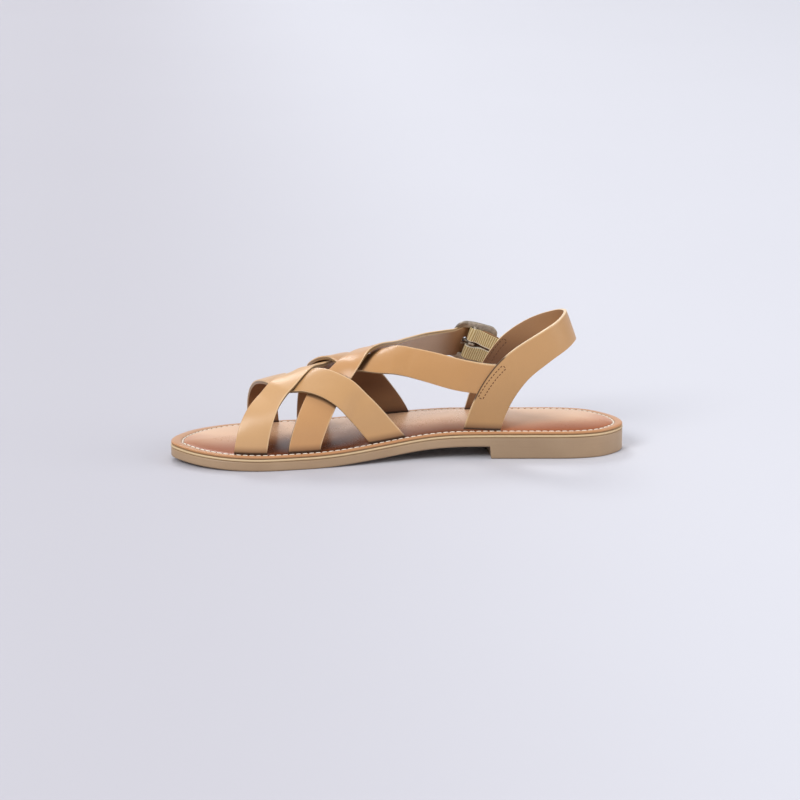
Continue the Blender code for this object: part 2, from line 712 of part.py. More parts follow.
def main():
    """Builds every piece and puts the cutters in their own hidden collection."""
    clear_scene()
    parts = new_collection(OBJECT_NAME)
    tools = new_collection(TOOLS_NAME)
    give_material(build_outsole(parts), "outsole_rubber", (0.37, 0.26, 0.17), 0.7)
    give_material(build_midsole(parts), "midsole_board", (0.58, 0.43, 0.26), 0.6)
    give_material(build_insole(parts, tools), "insole_leather", (0.62, 0.39, 0.26), 0.5)
    give_material(build_upper(parts, tools), "strap_leather", (0.54, 0.30, 0.13), 0.5)
    give_material(build_elastic("elastic_upper", -1.0, parts), "elastic_upper_fabric", (0.58, 0.48, 0.27), 0.9)
    give_material(build_elastic("elastic_lower", 1.0, parts), "elastic_lower_fabric", (0.58, 0.48, 0.27), 0.9)
    give_material(build_buckle_frame(parts, tools), "buckle_metal", (0.20, 0.16, 0.12), 0.4, 1.0)
    give_material(build_buckle_prong(parts), "prong_metal", (0.20, 0.16, 0.12), 0.4, 1.0)
    for tool in tools.objects:
        tool.hide_render = True
        tool.display_type = "WIRE"


main()
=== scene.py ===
"""Dresses the woven leather sandal: sole, straps, buckle, bands, stitches, light and camera.

The forms repeat the part's own sizes and tables, in millimetres, so each piece lies where its solid lies.
Toe towards -X, heel towards +X, inner side of the foot towards -Y, ground at Z = 0.
"""
import logging
import math
from collections.abc import Callable, Sequence
from dataclasses import dataclass, field, replace
from enum import Enum
from typing import Any, NamedTuple

import bpy
import numpy as np
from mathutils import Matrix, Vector


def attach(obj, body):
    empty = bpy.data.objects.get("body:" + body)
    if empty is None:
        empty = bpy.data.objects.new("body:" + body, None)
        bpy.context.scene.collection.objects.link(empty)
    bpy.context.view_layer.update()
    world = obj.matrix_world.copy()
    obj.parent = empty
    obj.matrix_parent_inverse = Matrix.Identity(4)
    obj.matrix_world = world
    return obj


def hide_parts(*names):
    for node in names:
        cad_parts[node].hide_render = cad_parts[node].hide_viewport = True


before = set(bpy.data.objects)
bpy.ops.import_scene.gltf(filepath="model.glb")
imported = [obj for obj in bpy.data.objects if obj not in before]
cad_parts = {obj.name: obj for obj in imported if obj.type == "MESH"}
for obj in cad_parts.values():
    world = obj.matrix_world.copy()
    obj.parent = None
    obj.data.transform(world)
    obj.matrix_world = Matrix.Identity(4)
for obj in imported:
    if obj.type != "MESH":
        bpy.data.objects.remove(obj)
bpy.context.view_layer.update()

MM = 0.001
# Steps over which the slopes of a form are read, as a share and in millimetres.
SHARE_STEP = 0.001
LENGTH_STEP = 0.02
# Half the length over which the direction of a seam is read, in millimetres.
SEAM_REACH = 0.6
BODY = "root"
LOG = logging.getLogger("sandal")
Array = np.ndarray
Pair = tuple[float, float]
Triple = tuple[float, float, float]
Colour = Triple


class Side(Enum):
    """The two long sides of the sole."""

    MEDIAL = "medial"
    LATERAL = "lateral"


class Slot(Enum):
    """Material slots of the record."""

    OUTSOLE = "outsole_rubber"
    MIDSOLE = "midsole_board"
    INSOLE = "insole_leather"
    STRAP = "strap_leather"
    ELASTIC = "elastic_fabric"
    METAL = "buckle_metal"


class OutlineRow(NamedTuple):
    """Edges of the sole at a station."""

    x: float
    medial: float
    lateral: float


class LastRow(NamedTuple):
    """Section of the last at a station."""

    x: float
    ridge: float
    ridge_y: float
    medial_bulge: float
    lateral_bulge: float


class HeelRow(NamedTuple):
    """Plan of the heel form by turn."""

    turn: float
    x: float
    y: float


class PathRow(NamedTuple):
    """A point of a strap's centre line in the two coordinates of its form."""

    first: float
    second: float


class Crease(NamedTuple):
    """A soft trough or ridge across a strap."""

    distance: float
    slant: float
    width: float
    height: float


class Sway(NamedTuple):
    """A stretch where a strap narrows by a share and moves to its side."""

    distance: float
    width: float
    narrow: float
    shift: float


class Curl(NamedTuple):
    """A stretch where one edge of a strap stands off, the side given by its sign."""

    distance: float
    width: float
    side: float
    height: float


class Stretch(NamedTuple):
    """A stretch with soft ends, in the unit of the field that is read: start, full, fade and stop."""

    start: float
    full: float
    fade: float
    stop: float


# A stretch past the end of every strap, for a finish that lacks the mark.
NOWHERE = Stretch(900.0, 910.0, 920.0, 930.0)
SOLE_OUTLINE = (
    OutlineRow(-126.0, -10.0, -10.0),
    OutlineRow(-121.5, -20.0, 5.5),
    OutlineRow(-111.0, -30.2, 20.3),
    OutlineRow(-95.0, -38.2, 32.0),
    OutlineRow(-77.0, -41.2, 38.2),
    OutlineRow(-55.0, -39.2, 41.1),
    OutlineRow(-35.0, -36.0, 41.0),
    OutlineRow(-12.0, -31.0, 38.6),
    OutlineRow(15.0, -25.6, 34.9),
    OutlineRow(42.0, -26.5, 32.6),
    OutlineRow(72.0, -29.2, 29.6),
    OutlineRow(97.0, -31.0, 26.6),
    OutlineRow(110.0, -28.4, 21.5),
    OutlineRow(121.0, -20.0, 9.0),
    OutlineRow(126.0, -8.0, -8.0),
)
LAST_ROWS = (
    LastRow(-110.0, 28.0, -6.0, 2.0, 2.0),
    LastRow(-85.0, 37.2, -7.0, 2.6, 2.5),
    LastRow(-60.0, 44.0, -8.0, 2.4, 3.0),
    LastRow(-35.0, 51.0, -8.0, 2.2, 3.5),
    LastRow(-10.0, 57.0, -6.0, 2.0, 3.5),
    LastRow(15.0, 65.0, -2.0, 1.8, 3.6),
    LastRow(36.0, 72.0, 2.0, 2.8, 5.5),
    LastRow(60.0, 82.0, 2.0, 3.5, 7.0),
    LastRow(90.0, 95.0, 2.0, 3.5, 7.0),
)
HEEL_ROWS = (
    HeelRow(-1.0, 40.0, -19.4),
    HeelRow(-0.8, 50.0, -21.6),
    HeelRow(-0.6, 62.0, -24.0),
    HeelRow(-0.4, 76.0, -23.2),
    HeelRow(-0.2, 88.8, -15.2),
    HeelRow(0.0, 95.4, -0.5),
    HeelRow(0.2, 91.8, 14.5),
    HeelRow(0.4, 80.5, 24.2),
    HeelRow(0.6, 67.0, 27.4),
    HeelRow(0.8, 55.0, 26.4),
    HeelRow(1.0, 44.0, 25.0),
)
FRONT_INNER_PATH = (
    PathRow(-84.0, -0.12), PathRow(-83.2, 0.04), PathRow(-80.2, 0.18), PathRow(-74.2, 0.305),
    PathRow(-63.0, 0.415), PathRow(-49.8, 0.53), PathRow(-34.5, 0.655), PathRow(-19.0, 0.78),
    PathRow(-7.0, 0.91), PathRow(2.2, 1.02), PathRow(7.0, 1.12),
)
REAR_INNER_PATH = (
    PathRow(-55.0, -0.13), PathRow(-53.8, 0.035), PathRow(-49.0, 0.152), PathRow(-41.0, 0.28),
    PathRow(-31.0, 0.405), PathRow(-18.5, 0.515), PathRow(1.0, 0.622), PathRow(21.0, 0.715),
    PathRow(42.0, 0.772), PathRow(58.0, 0.82), PathRow(72.0, 0.868),
)
FRONT_OUTER_PATH = (
    PathRow(4.0, -0.11), PathRow(-10.0, 0.02), PathRow(-22.5, 0.145), PathRow(-34.5, 0.26),
    PathRow(-46.0, 0.345), PathRow(-58.0, 0.42), PathRow(-66.0, 0.535), PathRow(-71.0, 0.70),
    PathRow(-72.8, 0.86), PathRow(-72.0, 1.02), PathRow(-70.0, 1.12),
)
REAR_OUTER_PATH = (
    PathRow(60.0, 0.136), PathRow(46.0, 0.157), PathRow(29.0, 0.199), PathRow(12.0, 0.270),
    PathRow(-2.0, 0.351), PathRow(-15.0, 0.425), PathRow(-26.0, 0.53), PathRow(-38.5, 0.66),
    PathRow(-43.0, 0.80), PathRow(-44.4, 0.94), PathRow(-44.2, 1.12),
)
SLING_PATH = (
    PathRow(-0.95, 4.0), PathRow(-0.89, 16.0), PathRow(-0.72, 39.0), PathRow(-0.5, 55.6),
    PathRow(-0.26, 65.6), PathRow(0.0, 69.0), PathRow(0.24, 65.2), PathRow(0.5, 55.0),
    PathRow(0.71, 39.0), PathRow(0.86, 16.0), PathRow(0.91, 4.0),
)


def smooth_step(value: Array) -> Array:
    """Goes from 0 to 1 without corners while the value goes from 0 to 1."""
    value = np.clip(value, 0.0, 1.0)
    return value * value * (3.0 - 2.0 * value)


def smooth_curve(keys: Sequence[float], values: Sequence[float], at: Array) -> Array:
    """Cubic curve through the values at the keys.

    Args:
        keys: rising places of the values.
        values: what the curve has at each key.
        at: where to read it.

    Returns:
        The curve's values, with slopes taken from the neighbouring rows.
    """
    keys = np.asarray(keys, float)
    values = np.asarray(values, float)
    at = np.asarray(at, float)
    gaps = np.diff(keys)
    steps = np.diff(values) / gaps
    slopes = np.empty_like(values)
    slopes[0] = steps[0]
    slopes[-1] = steps[-1]
    slopes[1:-1] = (steps[:-1] * gaps[1:] + steps[1:] * gaps[:-1]) / (gaps[:-1] + gaps[1:])
    row = np.clip(np.searchsorted(keys, at) - 1, 0, len(keys) - 2)
    part = (at - keys[row]) / gaps[row]
    rest = 1.0 - part
    start = (1.0 + 2.0 * part) * rest * rest * values[row]
    start = start + part * rest * rest * gaps[row] * slopes[row]
    end = part * part * (3.0 - 2.0 * part) * values[row + 1]
    return start + end - part * part * rest * gaps[row] * slopes[row + 1]


def column(table: Sequence[Any], name: str, key: str, at: Array) -> Array:
    """Reads one named column of a table as a smooth curve over its key column."""
    return smooth_curve([getattr(r, key) for r in table], [getattr(r, name) for r in table], at)


def unit(vectors: Array) -> Array:
    """Vectors brought to length one."""
    return vectors / np.linalg.norm(vectors, axis=-1, keepdims=True)


def run_length(path: Array) -> Array:
    """Distance of each point of a path from the first one, along the path."""
    steps = np.linalg.norm(np.diff(path, axis=0), axis=1)
    return np.concatenate([[0.0], np.cumsum(steps)])


def rounded_box(angles: Array, power: float) -> tuple[Array, Array]:
    """Points round a circle of radius one, which is the squarer the lower the power is."""
    across, up = np.cos(angles), np.sin(angles)
    return np.sign(across) * np.abs(across) ** power, np.sign(up) * np.abs(up) ** power


@dataclass(frozen=True)
class SoleForm:
    """Outline and long profile that all sole layers share."""

    length: float = 252.0
    heel_lift: float = 6.8
    arch_front: float = -52.0
    arch_rear: float = 38.0
    spring_start: float = -74.0
    toe_spring: float = 2.5
    outsole: float = 5.2
    breast: float = 49.0
    breast_draft: float = 0.6
    midsole: float = 1.2
    insole: float = 1.8
    gap: float = 0.3
    spine_toe: float = 32.0
    spine_heel: float = 30.0
    flat_margin: float = 14.0
    seam_margin: float = 4.4
    seam_toe: float = 6.6
    seam_heel: float = 5.2
    seam_medial: float = 2.4
    seam_lateral: float = 4.2
    clear_phase: float = 0.004

    def phase(self, x: Array) -> Array:
        """Turns a station into an angle fraction, so that toe and heel stay round."""
        return np.arccos(np.clip(-2.0 * np.asarray(x, float) / self.length, -1.0, 1.0)) / math.pi

    def edge(self, x: Array, side: Side) -> Array:
        """Y of the sole's edge on one side at station x."""
        phases = [float(self.phase(row.x)) for row in SOLE_OUTLINE]
        return smooth_curve(phases, [getattr(row, side.value) for row in SOLE_OUTLINE], self.phase(x))

    def sheet_bottom(self, x: Array) -> Array:
        """Underside of the outsole sheet, without the heel block.

        Args:
            x: stations along the sole.

        Returns:
            Heights over the ground.
        """
        x = np.asarray(x, float)
        arch = self.heel_lift * smooth_step((x - self.arch_front) / (self.arch_rear - self.arch_front))
        spring = np.clip((self.spring_start - x) / (self.length / 2 + self.spring_start), 0.0, None)
        return arch + self.toe_spring * spring ** 2

    def ground_side(self, x: Array) -> Array:
        """Underside of the rubber unit, heel block included."""
        return np.where(x > self.breast + self.breast_draft / 2, 0.0, self.sheet_bottom(x))

    def unit_top(self, x: Array) -> Array:
        """Top of the rubber unit."""
        return self.sheet_bottom(x) + self.outsole

    def midsole_bottom(self, x: Array) -> Array:
        """Underside of the midsole."""
        return self.unit_top(x) + self.gap

    def insole_bottom(self, x: Array) -> Array:
        """Underside of the insole."""
        return self.midsole_bottom(x) + self.midsole + self.gap

    def insole_top(self, x: Array) -> Array:
        """Top of the insole at its edge."""
        return self.insole_bottom(x) + self.insole

    def loop(self, count: int, extra: Sequence[float] = ()) -> tuple[Array, Array, Array]:
        """Closed outline of the sole.

        Args:
            count: stations between toe and heel.
            extra: further stations that the loop has to pass.

        Returns:
            Edge points, inward directions and spine points, the first one repeated at the end.
        """
        phases = np.linspace(0.0, 1.0, count)
        added = self.phase(np.array(extra)) if len(extra) else np.array([])
        if len(added):
            clear = np.abs(phases[:, None] - added).min(axis=1) > self.clear_phase
            phases = np.sort(np.concatenate([phases[clear], added]))
        stations = -self.length / 2 * np.cos(math.pi * phases)
        lateral = np.column_stack([stations, self.edge(stations, Side.LATERAL)])
        medial = np.column_stack([stations, self.edge(stations, Side.MEDIAL)])[-2:0:-1]
        points = np.concatenate([lateral, medial])
        tangent = unit(np.roll(points, -1, axis=0) - np.roll(points, 1, axis=0))
        inward = np.column_stack([tangent[:, 1], -tangent[:, 0]])
        half = self.length / 2
        spine_x = np.clip(points[:, 0], self.spine_toe - half, half - self.spine_heel)
        spine_y = (self.edge(spine_x, Side.MEDIAL) + self.edge(spine_x, Side.LATERAL)) / 2
        spine = np.column_stack([spine_x, spine_y])
        return tuple(np.concatenate([a, a[:1]]) for a in (points, inward, spine))

    def seam(self, loop: tuple[Array, Array, Array]) -> Array:
        """Margin of the insole's seam round the loop, wider at toe and heel than along the sides.

        Args:
            loop: what the loop method gives.

        Returns:
            A margin for each point of the loop.
        """
        inward = loop[1]
        ends = np.where(inward[:, 0] > 0.0, self.seam_toe, self.seam_heel)
        sides = np.where(inward[:, 1] > 0.0, self.seam_medial, self.seam_lateral)
        return inward[:, 0] ** 2 * ends + inward[:, 1] ** 2 * sides

    def inset(self, loop: tuple[Array, Array, Array], margin: float, seamed: bool = False) -> Array:
        """Plan curve at a margin from the edge.

        Args:
            loop: what the loop method gives.
            margin: distance from the edge; past the flat margin the curve closes on the spine.
            seamed: whether the margins stretch so that the seam's own margin follows the real seam.

        Returns:
            Plan points.
        """
        points, inward, spine = loop
        local = np.full(len(points), min(margin, self.flat_margin))
        seam = np.full(len(points), self.seam_margin)
        if seamed:
            seam = self.seam(loop)
            outside = local * seam / self.seam_margin
            stretch = (self.flat_margin - seam) / (self.flat_margin - self.seam_margin)
            local = np.where(local <= self.seam_margin, outside, seam + (local - self.seam_margin) * stretch)
        border = np.minimum(local, seam)
        ring = points + inward * border[:, None]
        ring = ring + unit(spine - ring) * (local - border)[:, None]
        share = max(margin - self.flat_margin, 0.0) / self.flat_margin
        return ring * (1.0 - share) + spine * share


@dataclass(frozen=True)
class StrapCut:
    """One strap: its form, centre line, width and the strap that it crosses on the outside."""

    name: str
    form: Callable[[Array, Array], Array]
    on_heel: bool
    path: tuple[PathRow, ...]
    half_width: float = 8.0
    flare: float = 0.1
    over: str = ""
    hump: bool = False
    creases: tuple[Crease, ...] = ()
    sways: tuple[Sway, ...] = ()
    curls: tuple[Curl, ...] = ()


@dataclass
class Last:
    """Virtual last and heel form, with the straps laid on them."""

    sole: SoleForm
    thickness: float = 2.0
    inset: float = 5.8
    tuck: float = 1.7
    lap: float = 0.3
    weave_rise: float = 0.4
    sewn_lap: float = 0.7
    tail_gap: float = 0.8
    weave_full: float = 8.8
    weave_none: float = 20.0
    medial_lead: Pair = (30.0, 48.0)
    lateral_lead: Pair = (40.0, 52.0)
    heel_lean: float = 0.36
    lean_level: float = 71.0
    buckle_station: float = 44.5
    buckle_turn: float = 10.0
    hump: float = 3.7
    hump_span: float = 12.0
    blend_start: float = 0.3
    blend_span: float = 0.4
    lean_reach: float = 1.6
    leg_turn: float = 0.4
    curl_start: float = 0.3
    samples: int = 321
    weave_samples: int = 161
    walk_steps: int = 6
    square_rounds: int = 4
    tangent_reach: float = 0.5
    straps: dict[str, StrapCut] = field(default_factory=dict)

    def __post_init__(self) -> None:
        """Cuts the five straps."""
        cuts = (
            StrapCut("front_inner", self.fore, False, FRONT_INNER_PATH, over="front_outer",
                     creases=(Crease(24.0, 0.25, 5.0, -0.25), Crease(52.0, 0.2, 6.0, 0.2)),
                     sways=(Sway(50.0, 20.0, 0.2, -1.2),),
                     curls=(Curl(44.0, 22.0, -1.0, 1.3), Curl(71.0, 9.0, 1.0, -2.4))),
            StrapCut("rear_inner", self.outer_led, False, REAR_INNER_PATH, over="rear_outer", hump=True,
                     creases=(Crease(22.0, -0.2, 5.0, -0.2), Crease(118.0, 0.1, 7.0, -0.3)),
                     sways=(Sway(71.0, 15.0, 0.31, -1.5), Sway(180.0, 13.0, 0.28, 1.5)),
                     curls=(Curl(77.0, 14.0, -1.0, 2.7),)),
            StrapCut("front_outer", self.fore, False, FRONT_OUTER_PATH, over="rear_inner",
                     creases=(Crease(30.0, 0.35, 6.0, -0.25), Crease(44.0, 0.3, 5.0, 0.2),
                              Crease(94.0, -0.62, 7.0, -2.2)),
                     curls=(Curl(64.0, 20.0, 1.0, 1.3),)),
            StrapCut("rear_outer", self.inner_led, False, REAR_OUTER_PATH, over="front_inner",
                     creases=(Crease(57.0, 0.2, 3.2, -0.45), Crease(65.0, 0.2, 3.0, 0.4),
                              Crease(83.0, 0.0, 4.5, -1.2)),
                     sways=(Sway(88.0, 8.0, 0.0, 3.2),), curls=(Curl(106.0, 10.0, 1.0, 1.2),)),
            StrapCut("slingback", self.heel, True, SLING_PATH, 8.5, 0.16,
                     creases=(Crease(58.0, -0.3, 7.0, -0.3), Crease(140.0, 0.3, 7.0, -0.3))),
        )
        self.straps = {cut.name: cut for cut in cuts}

    def fore(self, x: Array, girth: Array) -> Array:
        """Point of the last at a station and girth fraction, straight down below the insole.

        Args:
            x: stations along the sole.
            girth: share of the way from the inner to the outer edge.

        Returns:
            Points of the last.
        """
        x = np.asarray(x, float)
        girth = np.asarray(girth, float)
        floor = self.sole.insole_top(x)
        height = column(LAST_ROWS, "ridge", "x", x) - floor
        ridge_y = column(LAST_ROWS, "ridge_y", "x", x)
        angle = math.pi * np.clip(girth, 0.0, 1.0)
        medial = ridge_y - self.sole.edge(x, Side.MEDIAL) - self.inset
        lateral = self.sole.edge(x, Side.LATERAL) - self.inset - ridge_y
        share = smooth_step((girth - self.blend_start) / self.blend_span)
        reach = medial + (lateral - medial) * share
        medial_bulge = column(LAST_ROWS, "medial_bulge", "x", x)
        lateral_bulge = column(LAST_ROWS, "lateral_bulge", "x", x)
        bulge = medial_bulge + (lateral_bulge - medial_bulge) * share
        below = np.maximum(np.maximum(-girth, girth - 1.0), 0.0)
        y = ridge_y - reach * np.cos(angle) - bulge * np.sin(2.0 * angle)
        z = floor + height * (np.sin(angle) - math.pi * below)
        return np.stack([x, y, z], -1)

    def heel(self, turn: Array, z: Array) -> Array:
        """Point of the heel form: turn -1 in front on the inner side, 0 at the back, 1 on the outer side.

        Args:
            turn: place round the heel.
            z: height.

        Returns:
            Points of the heel form.
        """
        turn = np.asarray(turn, float)
        z = np.asarray(z, float)
        lean = self.heel_lean * np.cos(np.clip(turn * self.lean_reach, -1.0, 1.0) * math.pi / 2) ** 2
        x = column(HEEL_ROWS, "x", "turn", turn) - lean * (z - self.lean_level)
        return np.stack([x, column(HEEL_ROWS, "y", "turn", turn), z], -1)

    def led(self, x: Array, girth: Array, rows: list[HeelRow], lead: Pair,
            shift: float) -> Array:
        """The last, led over a stretch of stations to a slingback leg's wall plus a shift.

        Args:
            x: stations along the sole.
            girth: share of the way round the last.
            rows: plan of the leg's wall.
            lead: stations where the leading starts and is complete.
            shift: distance to the wall.

        Returns:
            Points of the led form.
        """
        points = self.fore(x, girth)
        share = smooth_step((points[..., 0] - lead[0]) / (lead[1] - lead[0]))
        target = column(rows, "y", "x", points[..., 0]) + shift
        points[..., 1] = (1.0 - share) * points[..., 1] + share * target
        return points

    def inner_led(self, x: Array, girth: Array) -> Array:
        """Form of the strap that is sewn inside the slingback's inner leg."""
        rows = [row for row in HEEL_ROWS if row.turn <= -self.leg_turn]
        return self.led(x, girth, rows, self.medial_lead, self.thickness - self.sewn_lap)

    def outer_led(self, x: Array, girth: Array) -> Array:
        """Form of the buckle strap, whose tail lies outside the slingback's outer leg."""
        rows = [row for row in reversed(HEEL_ROWS) if row.turn >= self.leg_turn]
        return self.led(x, girth, rows, self.lateral_lead, self.thickness + self.tail_gap)

    def form_frame(self, cut: StrapCut, first: Array, second: Array) -> tuple[Array, ...]:
        """Point, two surface slopes and outward normal of a strap's form.

        Args:
            cut: the strap.
            first: first form coordinate.
            second: second form coordinate.

        Returns:
            Points, slopes along the two coordinates, and normals.
        """
        first_step = SHARE_STEP if cut.on_heel else LENGTH_STEP
        second_step = LENGTH_STEP if cut.on_heel else SHARE_STEP
        point = cut.form(first, second)
        along = cut.form(first + first_step, second) - cut.form(first - first_step, second)
        across = cut.form(first, second + second_step) - cut.form(first, second - second_step)
        along = along / (2 * first_step)
        across = across / (2 * second_step)
        return point, along, across, unit(np.cross(along, across))

    def chords(self, cut: StrapCut) -> tuple[Array, Array, Array]:
        """Distances and form coordinates of a centre line's rows.

        Args:
            cut: the strap.

        Returns:
            Distances from the first row, and the two coordinates of each row.
        """
        first = np.array([row.first for row in cut.path])
        second = np.array([row.second for row in cut.path])
        return run_length(cut.form(first, second)), first, second

    def centre_line(self, cut: StrapCut, distance: Array) -> tuple[Array, Array]:
        """Form coordinates on the centre line at a distance from its first row."""
        keys, first, second = self.chords(cut)
        return smooth_curve(keys, first, distance), smooth_curve(keys, second, distance)

    def lay(self, cut: StrapCut, distance: Array, offset: Array) -> tuple[Array, Array]:
        """Form coordinates at distances along a strap and offsets to its side, walked over the form.

        Args:
            cut: the strap.
            distance: how far along its centre line.
            offset: how far to its side.

        Returns:
            The two form coordinates.
        """
        distance, offset = np.broadcast_arrays(np.asarray(distance, float), np.asarray(offset, float))
        first, second = self.centre_line(cut, distance)
        ahead = cut.form(*self.centre_line(cut, distance + self.tangent_reach))
        tangent = ahead - cut.form(*self.centre_line(cut, distance - self.tangent_reach))
        from_middle = np.abs(2.0 * distance / self.chords(cut)[0][-1] - 1.0)
        offset = offset * (1.0 + cut.flare * smooth_step(from_middle))
        for sway in cut.sways:
            here = np.exp(-((distance - sway.distance) / sway.width) ** 2)
            offset = offset * (1.0 - sway.narrow * here) + sway.shift * here
        for _ in range(self.walk_steps):
            _, along, across, normal = self.form_frame(cut, first, second)
            side = unit(np.cross(normal, tangent)) * (offset / self.walk_steps)[..., None]
            along_along = (along * along).sum(-1)
            along_across = (along * across).sum(-1)
            across_across = (across * across).sum(-1)
            side_along = (side * along).sum(-1)
            side_across = (side * across).sum(-1)
            area = along_along * across_across - along_across ** 2
            first = first + (across_across * side_along - along_across * side_across) / area
            second = second + (along_along * side_across - along_across * side_along) / area
        return first, second

    def ends(self, cut: StrapCut, offsets: Array) -> tuple[Array, Array]:
        """Distances where each line along a strap starts and stops.

        Args:
            cut: the strap.
            offsets: offset of each line.

        Returns:
            Starts and stops, just below the insole or at a free end.
        """
        samples = np.linspace(0.0, self.chords(cut)[0][-1], self.samples)
        step = samples[1] - samples[0]
        points = cut.form(*self.lay(cut, samples[:, None], offsets[None, :]))
        height = points[..., 2] - self.sole.insole_top(points[..., 0]) + self.tuck
        starts = []
        stops = []
        for line in height.T:
            inside = np.nonzero(line > 0.0)[0]
            low, high = inside[0], inside[-1]
            before = line[low] / (line[low] - line[low - 1]) if low > 0 else 0.0
            after = line[high] / (line[high] - line[high + 1]) if high < len(samples) - 1 else 0.0
            starts.append(samples[low] - step * before)
            stops.append(samples[high] + step * after)
        return np.array(starts), np.array(stops)

    def bar_distance(self) -> float:
        """Distance along the buckle strap at which the buckle's bar lies.

        Returns:
            The distance.
        """
        cut = self.straps["rear_inner"]
        samples = np.linspace(0.0, self.chords(cut)[0][-1], self.samples)
        return float(np.interp(self.buckle_station, self.centre_line(cut, samples)[0], samples))

    def surface(self, name: str, distance: Array, offset: Array) -> tuple[Array, Array]:
        """Inner face of a strap and its outward normal.

        Args:
            name: the strap.
            distance: how far along its centre line.
            offset: how far to its side.

        Returns:
            Points and normals, with the rise over crossings and over the bar, and the creases.
        """
        cut = self.straps[name]
        points, _, _, normal = self.form_frame(cut, *self.lay(cut, distance, offset))
        lift = np.zeros(points.shape[:-1])
        if cut.over:
            under = self.straps[cut.over]
            samples = np.linspace(0.0, self.chords(under)[0][-1], self.weave_samples)
            line = under.form(*self.centre_line(under, samples))
            nearest = np.sqrt(((points[..., None, :] - line) ** 2).sum(-1)).min(-1)
            share = smooth_step((nearest - self.weave_full) / (self.weave_none - self.weave_full))
            lift = lift + (self.thickness - self.lap + self.weave_rise) * (1.0 - share)
        if cut.hump:
            from_bar = np.abs(distance - self.bar_distance())
            lift = lift + self.hump * (1.0 - smooth_step(from_bar / self.hump_span))
        for crease in cut.creases:
            place = (distance - crease.distance - crease.slant * offset) / crease.width
            lift = lift + crease.height * np.exp(-place * place)
        for curl in cut.curls:
            here = np.exp(-((distance - curl.distance) / curl.width) ** 2)
            from_start = curl.side * offset / cut.half_width + self.curl_start
            reach = np.clip(from_start / (1.0 + self.curl_start), 0.0, None)
            lift = lift + curl.height * here * reach * reach
        return points + normal * lift[..., None], normal

    def beside_bar(self, along: Array, across: Array, level: Array) -> Array:
        """Point beside the buckle bar, turned with the buckle.

        Args:
            along: distance along the buckle.
            across: distance across it.
            level: distance out from the strap's resting inner face.

        Returns:
            Points in millimetres.
        """
        cut = replace(self.straps["rear_inner"], sways=())
        along, across, level = np.broadcast_arrays(*(np.asarray(v, float) for v in (along, across, level)))
        turn = math.radians(self.buckle_turn)
        sine, cosine = math.sin(turn), math.cos(turn)
        along, across = along * cosine - across * sine, along * sine + across * cosine
        points, _, _, normal = self.form_frame(cut, *self.lay(cut, self.bar_distance() + along, across))
        return points + normal * level[..., None]

    def square_to_bar(self, along: Array, across: Array, level: Array) -> Array:
        """Point beside the buckle bar, without the taper of the strap's form.

        Args:
            along: distance along the buckle.
            across: distance across it.
            level: distance out from the strap's resting inner face.

        Returns:
            Points in millimetres, on which a rectangle stays one.
        """
        middle = self.beside_bar(0.0, 0.0, 0.0)
        near = self.tangent_reach
        ahead = unit(self.beside_bar(near, 0.0, 0.0) - self.beside_bar(-near, 0.0, 0.0))
        side = self.beside_bar(0.0, near, 0.0) - self.beside_bar(0.0, -near, 0.0)
        side = unit(side - ahead * (side @ ahead))
        seat_along, seat_across = along, across
        for _ in range(self.square_rounds):
            reached = self.beside_bar(seat_along, seat_across, level) - middle
            seat_along = seat_along + along - reached @ ahead
            seat_across = seat_across + across - reached @ side
        return self.beside_bar(seat_along, seat_across, level)


